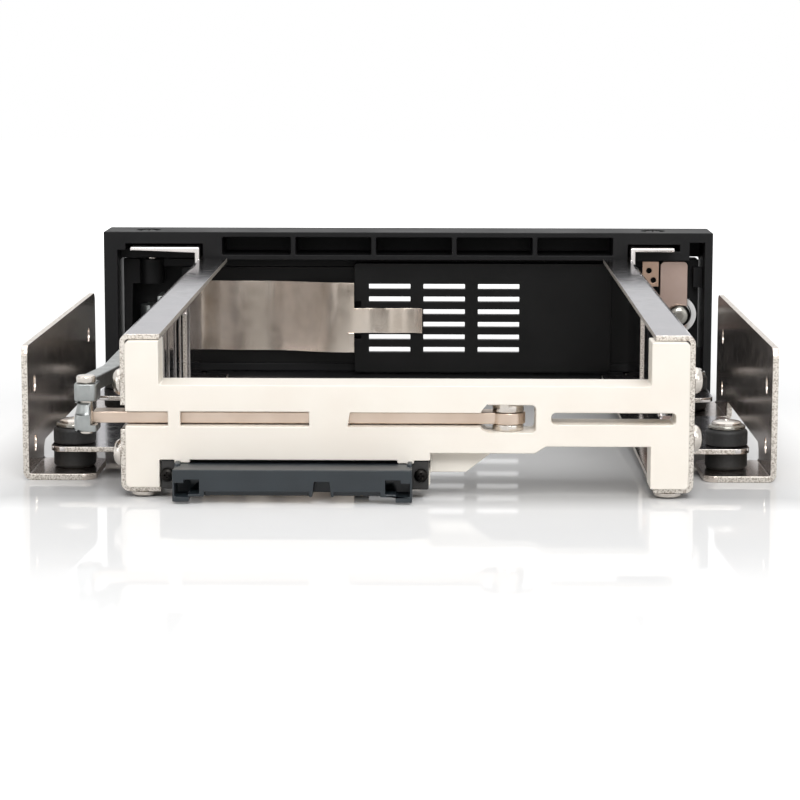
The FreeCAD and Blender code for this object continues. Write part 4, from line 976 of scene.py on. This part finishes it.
@dataclass
class Dampers:
    """Rubber grommets, cup washers and shoulder screws under the rails' tabs."""

    ends: tuple[str, ...] = ("rear", "front")
    sides: tuple[str, ...] = ("left", "right")
    rubber_edge_mm: float = 0.15
    washer_edge_mm: float = 0.1
    screw_dome_share: float = 0.5

    def build(self, shop: Workshop) -> None:
        """Build the four dampers.

        Args:
            shop: the workshop.
        """
        for end in self.ends:
            for side in self.sides:
                shop.soften(f"grommet_{end}_{side}", Body.CHASSIS, Finish.RUBBER,
                            self.rubber_edge_mm)
                shop.soften(f"cup_washer_{end}_{side}", Body.CHASSIS, Finish.ZINC,
                            self.washer_edge_mm)
        CrossScrews("damper_screws", Axis.Z, Finish.SCREW,
                    dome_share=self.screw_dome_share).build(shop)


@dataclass
class Connector:
    """Straight-through connector: keyed housing, contacts, receptacle and ear screws."""

    edge_mm: float = 0.15
    rear_mm: float = -90.6
    left_mm: float = -41.0
    right_mm: float = 2.8
    key_span_mm: tuple[float, float] = (2.85, 4.9)
    key_low_mm: float = 6.9
    key_top_mm: float = 9.5
    key_depth_mm: float = 5.0
    strip_start_mm: float = 5.8
    strip_gap_mm: tuple[float, float] = (-16.0, -11.5)
    strip_low_mm: float = 6.3
    strip_top_mm: float = 7.3
    strip_depth_mm: float = 1.4
    ear_mm: float = 3.0
    ear_gap_mm: float = 0.1
    ear_root_mm: float = 0.3
    ear_edge_mm: float = 0.3
    ear_edge_steps: int = 3
    ear_rear_mm: float = -82.9
    ear_front_mm: float = -80.55
    ear_low_mm: float = 6.45
    ear_top_mm: float = 11.9
    plain_ear_low_mm: float = 4.0
    plain_ear_top_mm: float = 13.0
    plain_ear_front_mm: float = -83.0
    beyond_mm: float = 1.0
    contact_edge_mm: float = 0.03
    contact_shift_mm: tuple[float, float, float] = (0, 1.5, 0.2)
    screw_shift_mm: tuple[float, float, float] = (0, 3.0, 0)
    screw_slot_mm: float = 0.35
    screw_slot_depth_mm: float = 0.3

    def build(self, shop: Workshop) -> None:
        """Build the connector's pieces.

        Args:
            shop: the workshop.
        """
        shop.soften("sata_plug_housing", Body.CHASSIS, Finish.SLATE, self.edge_mm,
                    pockets=self.pockets())
        self.ears(shop)
        shop.soften("drive_receptacle", Body.CHASSIS, Finish.SLATE, self.edge_mm)
        shop.soften("plug_contacts", Body.CHASSIS, Finish.GOLD, self.contact_edge_mm,
                    shift_mm=self.contact_shift_mm)
        shop.soften("socket_contacts", Body.CHASSIS, Finish.GOLD, self.contact_edge_mm)
        # The ear screws take the dark finish as painted shade of the shaded recesses they sit in.
        CrossScrews("plug_screws", Axis.Y, Finish.DARK_SCREW, slot_mm=self.screw_slot_mm,
                    slot_depth_mm=self.screw_slot_depth_mm,
                    shift_mm=self.screw_shift_mm).build(shop)

    def pockets(self) -> tuple[Block, ...]:
        """Give the key pockets, the set-back strip and the room of the plain ears.

        Returns:
            The blocks that are cut out of the housing.
        """
        outer, inner = self.key_span_mm
        keys = ((self.left_mm + outer, self.left_mm + inner),
                (self.right_mm - inner, self.right_mm - outer))
        strips = ((self.left_mm + self.strip_start_mm, self.strip_gap_mm[0]),
                  (self.strip_gap_mm[1], self.right_mm - self.strip_start_mm))
        reach = self.ear_mm + self.beyond_mm
        ears = ((self.left_mm - reach, self.left_mm), (self.right_mm, self.right_mm + reach))
        groups = ((keys, self.key_low_mm, self.key_top_mm, self.rear_mm + self.key_depth_mm),
                  (strips, self.strip_low_mm, self.strip_top_mm,
                   self.rear_mm + self.strip_depth_mm),
                  (ears, self.plain_ear_low_mm, self.plain_ear_top_mm,
                   self.plain_ear_front_mm))
        return tuple(Block((start, self.rear_mm - self.beyond_mm, low), (end, depth, top))
                     for spans, low, top, depth in groups for start, end in spans)

    def ears(self, shop: Workshop) -> None:
        """Build the ears, sunk into the rear frame's recesses, in a darker finish that paints the
        recesses' shade.

        Args:
            shop: the workshop.
        """
        bm = bmesh.new()
        for start, end in ((self.left_mm - self.ear_mm + self.ear_gap_mm,
                            self.left_mm + self.ear_root_mm),
                           (self.right_mm - self.ear_root_mm, self.right_mm + self.ear_mm)):
            Block((start, self.ear_rear_mm, self.ear_low_mm),
                  (end, self.ear_front_mm, self.ear_top_mm)).add_to(bm)
        shop.round_off(bm, bm.edges[:], self.ear_edge_mm, self.ear_edge_steps)
        # The ears' darker finish is painted shade of the recesses they sit in.
        shop.add("sata_plug_ears", bm, Body.CHASSIS, Finish.SLATE_PAINTED_SHADE)


@dataclass
class DoorLeaf:
    """Hinged door: outer leaf, vented liner, crank, leaf spring and lock barrel."""

    edge_mm: float = 0.2
    liner_edge_mm: float = 0.15
    spring_edge_mm: float = 0.05
    rivet_edge_mm: float = 0.1
    barrel_edge_mm: float = 0.15
    stay_edge_mm: float = 0.12
    stay_low_mm: tuple[float, float, float] = (57.4, 77.6, 28.0)
    stay_high_mm: tuple[float, float, float] = (61.4, 78.2, 34.2)
    stay_holes_mm: tuple[tuple[float, float], ...] = ((59.0, 31.9), (60.1, 29.6))
    stay_hole_mm: float = 0.7
    drill_mm: float = 4.0
    drill_sides: int = 20

    def build(self, shop: Workshop) -> None:
        """Build the door's pieces.

        Args:
            shop: the workshop.
        """
        shop.soften("door_front", Body.DOOR, Finish.BLACK_ABS, self.edge_mm)
        shop.soften("door_liner", Body.DOOR, Finish.DARK_LINER, self.liner_edge_mm)
        shop.soften("door_crank", Body.DOOR, Finish.CASTING, self.edge_mm)
        shop.soften("leaf_spring", Body.DOOR, Finish.SPRING, self.spring_edge_mm)
        shop.soften("spring_rivets", Body.DOOR, Finish.SCREW, self.rivet_edge_mm)
        shop.soften("lock_barrel", Body.DOOR, Finish.CHROME, self.barrel_edge_mm)
        self.stay(shop)

    def stay(self, shop: Workshop) -> None:
        """Build the small holed plate that holds the lock's side of the liner.

        Args:
            shop: the workshop.
        """
        bm = Block(self.stay_low_mm, self.stay_high_mm).shape()
        middle = (self.stay_low_mm[1] + self.stay_high_mm[1]) / 2
        for x, z in self.stay_holes_mm:
            drill = bmesh.new()
            bmesh.ops.create_cone(drill, cap_ends=True, segments=self.drill_sides,
                                  depth=self.drill_mm * MM,
                                  radius1=self.stay_hole_mm * MM, radius2=self.stay_hole_mm * MM,
                                  matrix=Matrix.Translation(Vector((x, middle, z)) * MM)
                                  @ Matrix.Rotation(math.pi / 2, 4, "X"))
            bm = shop.carve(bm, drill)
        edges = [edge for edge in bm.edges if shop.can_round(edge, self.stay_edge_mm * MM)]
        shop.round_off(bm, edges, self.stay_edge_mm, shop.edge_steps)
        shop.add("liner_stay_plate", bm, Body.DOOR, Finish.BROWN_STAY)


@dataclass
class DoorLock:
    """Key lock's core, cam and nut."""

    edge_mm: float = 0.15
    core_edge_mm: float = 0.1

    def build(self, shop: Workshop) -> None:
        """Build the lock's pieces.

        Args:
            shop: the workshop.
        """
        shop.soften("lock_core", Body.LOCK, Finish.CHROME, self.core_edge_mm)
        shop.soften("lock_cam", Body.LOCK, Finish.CAM, self.edge_mm)
        shop.soften("cam_nut", Body.LOCK, Finish.ZINC, self.edge_mm)


@dataclass
class EjectorGear:
    """Ejector lever with its end block, push rod, link pin, pivot and bushes."""

    edge_mm: float = 0.25
    lever_edge_mm: float = 0.15
    block_edge_mm: float = 0.6

    def build(self, shop: Workshop) -> None:
        """Build the ejector's pieces.

        Args:
            shop: the workshop.
        """
        shop.soften("ejector_lever", Body.EJECTOR, Finish.LEVER, self.lever_edge_mm)
        shop.soften("lever_end_block", Body.EJECTOR, Finish.CASTING, self.block_edge_mm)
        shop.soften("push_rod", Body.ROD, Finish.CASTING, self.edge_mm)
        shop.soften("link_pin", Body.ROD, Finish.SCREW, self.edge_mm)
        shop.soften("pivot_pin", Body.CHASSIS, Finish.SCREW, self.edge_mm)
        for end in ("lower", "upper"):
            shop.soften(f"{end}_bush", Body.CHASSIS, Finish.SCREW, self.edge_mm)


# ---------------------------------------------------------------- stage

@dataclass(frozen=True)
class SoftBox:
    """A square soft lamp that points at the part, in metres and watts.

    Attributes:
        name: its name.
        place: where it hangs.
        size: its width.
        watts: its power.
        aim: the point that it faces.
    """

    name: str
    place: tuple[float, float, float]
    size: float
    watts: float
    aim: tuple[float, float, float] = (0.0, 0.0, 0.02)

    def hang(self) -> None:
        """Make the lamp and turn it to the part."""
        data = bpy.data.lights.new(self.name, "AREA")
        data.shape, data.size, data.energy = "SQUARE", self.size, self.watts
        lamp = bpy.data.objects.new(self.name, data)
        lamp.location = self.place
        way = Vector(self.aim) - Vector(self.place)
        lamp.rotation_euler = way.to_track_quat("-Z", "Y").to_euler()
        bpy.context.scene.collection.objects.link(lamp)


@dataclass
class Stage:
    """Pale glossy floor, white surroundings, soft lamps and the camera, in metres.

    Attributes:
        floor_rear_mm: y and z at which the floor meets the rear feet.
        floor_front_mm: y and z at which it meets the bezel.
        floor_reach: half of its width.
        floor_tone: its hex colour.
        floor_roughness: its roughness.
        floor_specular: its specular level, low so that it mirrors only faintly.
        footprint: half the size of the space under and over the cage, where it doesn't glow, so
            that a contact shadow is painted there.
        near_glow: how much it glows outside that space.
        near_reach: width over which that glow rises, which softens the edge of the painted shadow.
        far_glow: what is added to the glow far away.
        far_start: distance at which that begins.
        far_reach: distance at which all of it is added.
        room_strength: how strongly the white surroundings light the scene.
        lamps: the soft lamps.
        lens_mm: the camera's focal length.
        sensor_mm: the width of its sensor.
        camera_place: where it stands.
        camera_turn_deg: its turns about x, y and z.
    """

    floor_rear_mm: tuple[float, float] = (-60.5, 4.05)
    floor_front_mm: tuple[float, float] = (74.5, -0.03)
    floor_reach: float = 4.0
    floor_tone: str = "d0d0d0"
    floor_roughness: float = 0.03
    floor_specular: float = 0.025
    footprint: tuple[float, float, float] = (0.072, 0.08, 1.0)
    near_glow: float = 0.25
    near_reach: float = 0.016
    far_glow: float = 0.7
    far_start: float = 0.12
    far_reach: float = 0.9
    room_strength: float = 0.24
    lamps: tuple[SoftBox, ...] = (SoftBox("top_box", (0.0, 0.2, 0.9), 1.4, 4.6),
                                  SoftBox("rear_box", (0.1, -0.85, 0.75), 0.6, 9.5),
                                  SoftBox("left_box", (-0.8, -0.7, 0.45), 0.6, 1.2),
                                  SoftBox("right_box", (0.8, -0.7, 0.45), 0.6, 1.2))
    lens_mm: float = 116.51
    sensor_mm: float = 36.0
    camera_place: tuple[float, float, float] = (0.0075, -0.55504, 0.09253)
    camera_turn_deg: tuple[float, float, float] = (81.6552, -0.0759, 0.8634)

    def build(self) -> None:
        """Build floor, world, lamps and camera."""
        self.make_floor()
        self.make_world()
        for lamp in self.lamps:
            lamp.hang()
        self.make_camera()

    def make_floor(self) -> None:
        """Lay the floor so that it touches the bezel's lower edge and the rear feet."""
        (rear_y, rear_z), (front_y, front_z) = self.floor_rear_mm, self.floor_front_mm
        slope = (front_z - rear_z) / (front_y - rear_y)
        bm = bmesh.new()
        bmesh.ops.create_grid(bm, x_segments=1, y_segments=1, size=1.0)
        bmesh.ops.scale(bm, vec=(self.floor_reach, self.floor_reach, 1.0), verts=bm.verts)
        bmesh.ops.rotate(bm, cent=(0, 0, 0), matrix=Matrix.Rotation(math.atan(slope), 3, "X"),
                         verts=bm.verts)
        height = (front_z - slope * front_y) * MM
        bmesh.ops.translate(bm, vec=(0, 0, height), verts=bm.verts)
        mesh = bpy.data.meshes.new("floor")
        bm.to_mesh(mesh)
        bm.free()
        mesh.materials.append(self.acrylic())
        floor = bpy.data.objects.new("floor", mesh)
        bpy.context.scene.collection.objects.link(floor)

    def acrylic(self) -> bpy.types.Material:
        """Make the floor: white acrylic sheet that shines faintly and fades to plain white. Its
        glow is held back over the cage's footprint, which paints a contact shadow under the cage.

        Returns:
            The new material.
        """
        material, tree, shader = blank_material("white_acrylic_sheet")
        shader.inputs["Base Color"].default_value = linear(self.floor_tone)
        shader.inputs["Roughness"].default_value = self.floor_roughness
        shader.inputs["Specular IOR Level"].default_value = self.floor_specular
        place = add_node(tree, "ShaderNodeTexCoord").outputs["Object"]
        away = add_node(tree, "ShaderNodeVectorMath", links={0: place}, operation="LENGTH")
        # Glow that rises beside the cage's footprint and stays out of it: this paints a contact
        # shadow under the cage.
        sides = add_node(tree, "ShaderNodeVectorMath", links={0: place}, operation="ABSOLUTE")
        past = add_node(tree, "ShaderNodeVectorMath", {1: self.footprint}, {0: sides.outputs[0]},
                        operation="SUBTRACT")
        past = add_node(tree, "ShaderNodeVectorMath", {1: (0, 0, 0)}, {0: past.outputs[0]},
                        operation="MAXIMUM")
        clear = add_node(tree, "ShaderNodeVectorMath", links={0: past.outputs[0]},
                         operation="LENGTH")
        near = add_node(tree, "ShaderNodeMapRange",
                        {"From Max": self.near_reach, "To Max": self.near_glow},
                        {"Value": clear.outputs["Value"]})
        far = add_node(tree, "ShaderNodeMapRange",
                       {"From Min": self.far_start, "From Max": self.far_reach,
                        "To Max": self.far_glow}, {"Value": away.outputs["Value"]})
        both = add_node(tree, "ShaderNodeMath", links={0: near.outputs[0], 1: far.outputs[0]})
        glow = add_node(tree, "ShaderNodeMath",
                        links={0: self.seen(tree), 1: both.outputs[0]}, operation="MULTIPLY")
        shader.inputs["Emission Color"].default_value = (1, 1, 1, 1)
        tree.links.new(glow.outputs[0], shader.inputs["Emission Strength"])
        return material

    @staticmethod
    def seen(tree: bpy.types.NodeTree) -> bpy.types.NodeSocket:
        """Tell rays that show a surface, straight or in gloss or glass, from rays that light one.

        Args:
            tree: the node tree.

        Returns:
            A socket that is 1 for rays that show a surface.
        """
        path = add_node(tree, "ShaderNodeLightPath").outputs
        gloss = add_node(tree, "ShaderNodeMath", links={0: path["Is Camera Ray"],
                                                        1: path["Is Glossy Ray"]},
                         operation="MAXIMUM").outputs[0]
        return add_node(tree, "ShaderNodeMath", links={0: gloss, 1: path["Is Transmission Ray"]},
                        operation="MAXIMUM").outputs[0]

    def make_world(self) -> None:
        """Light the scene evenly and show plain white to camera, gloss and glass."""
        world = bpy.data.worlds.new("soft_studio")
        bpy.context.scene.world = world
        world.use_nodes = True
        tree = world.node_tree
        tree.nodes.clear()
        strength = add_node(tree, "ShaderNodeMapRange", {"To Min": self.room_strength},
                            {"Value": self.seen(tree)}).outputs["Result"]
        back = add_node(tree, "ShaderNodeBackground", {"Color": (1, 1, 1, 1)},
                        {"Strength": strength})
        add_node(tree, "ShaderNodeOutputWorld", links={"Surface": back.outputs[0]})

    def make_camera(self) -> None:
        """Set the camera behind the cage, a little above it."""
        data = bpy.data.cameras.new("camera")
        data.lens = self.lens_mm
        data.sensor_width = self.sensor_mm
        camera = bpy.data.objects.new("camera", data)
        camera.location = self.camera_place
        camera.rotation_euler = [math.radians(turn) for turn in self.camera_turn_deg]
        bpy.context.scene.collection.objects.link(camera)
        bpy.context.scene.camera = camera


def main() -> None:
    """Build the materials, the pieces and the stage."""
    logging.basicConfig(level=logging.INFO)
    scene = bpy.context.scene
    scene.view_settings.view_transform = "Standard"
    shop = Workshop({finish: finish.value[1].build() for finish in Finish})
    for assembly in (BezelShell(), RailPair(), RearFrame(), BracketPair(), Dampers(),
                     Connector(), DoorLeaf(), DoorLock(), EjectorGear()):
        LOG.info("building %s", type(assembly).__name__)
        assembly.build(shop)
    Stage().build()


if __name__ == "__main__":
    main()
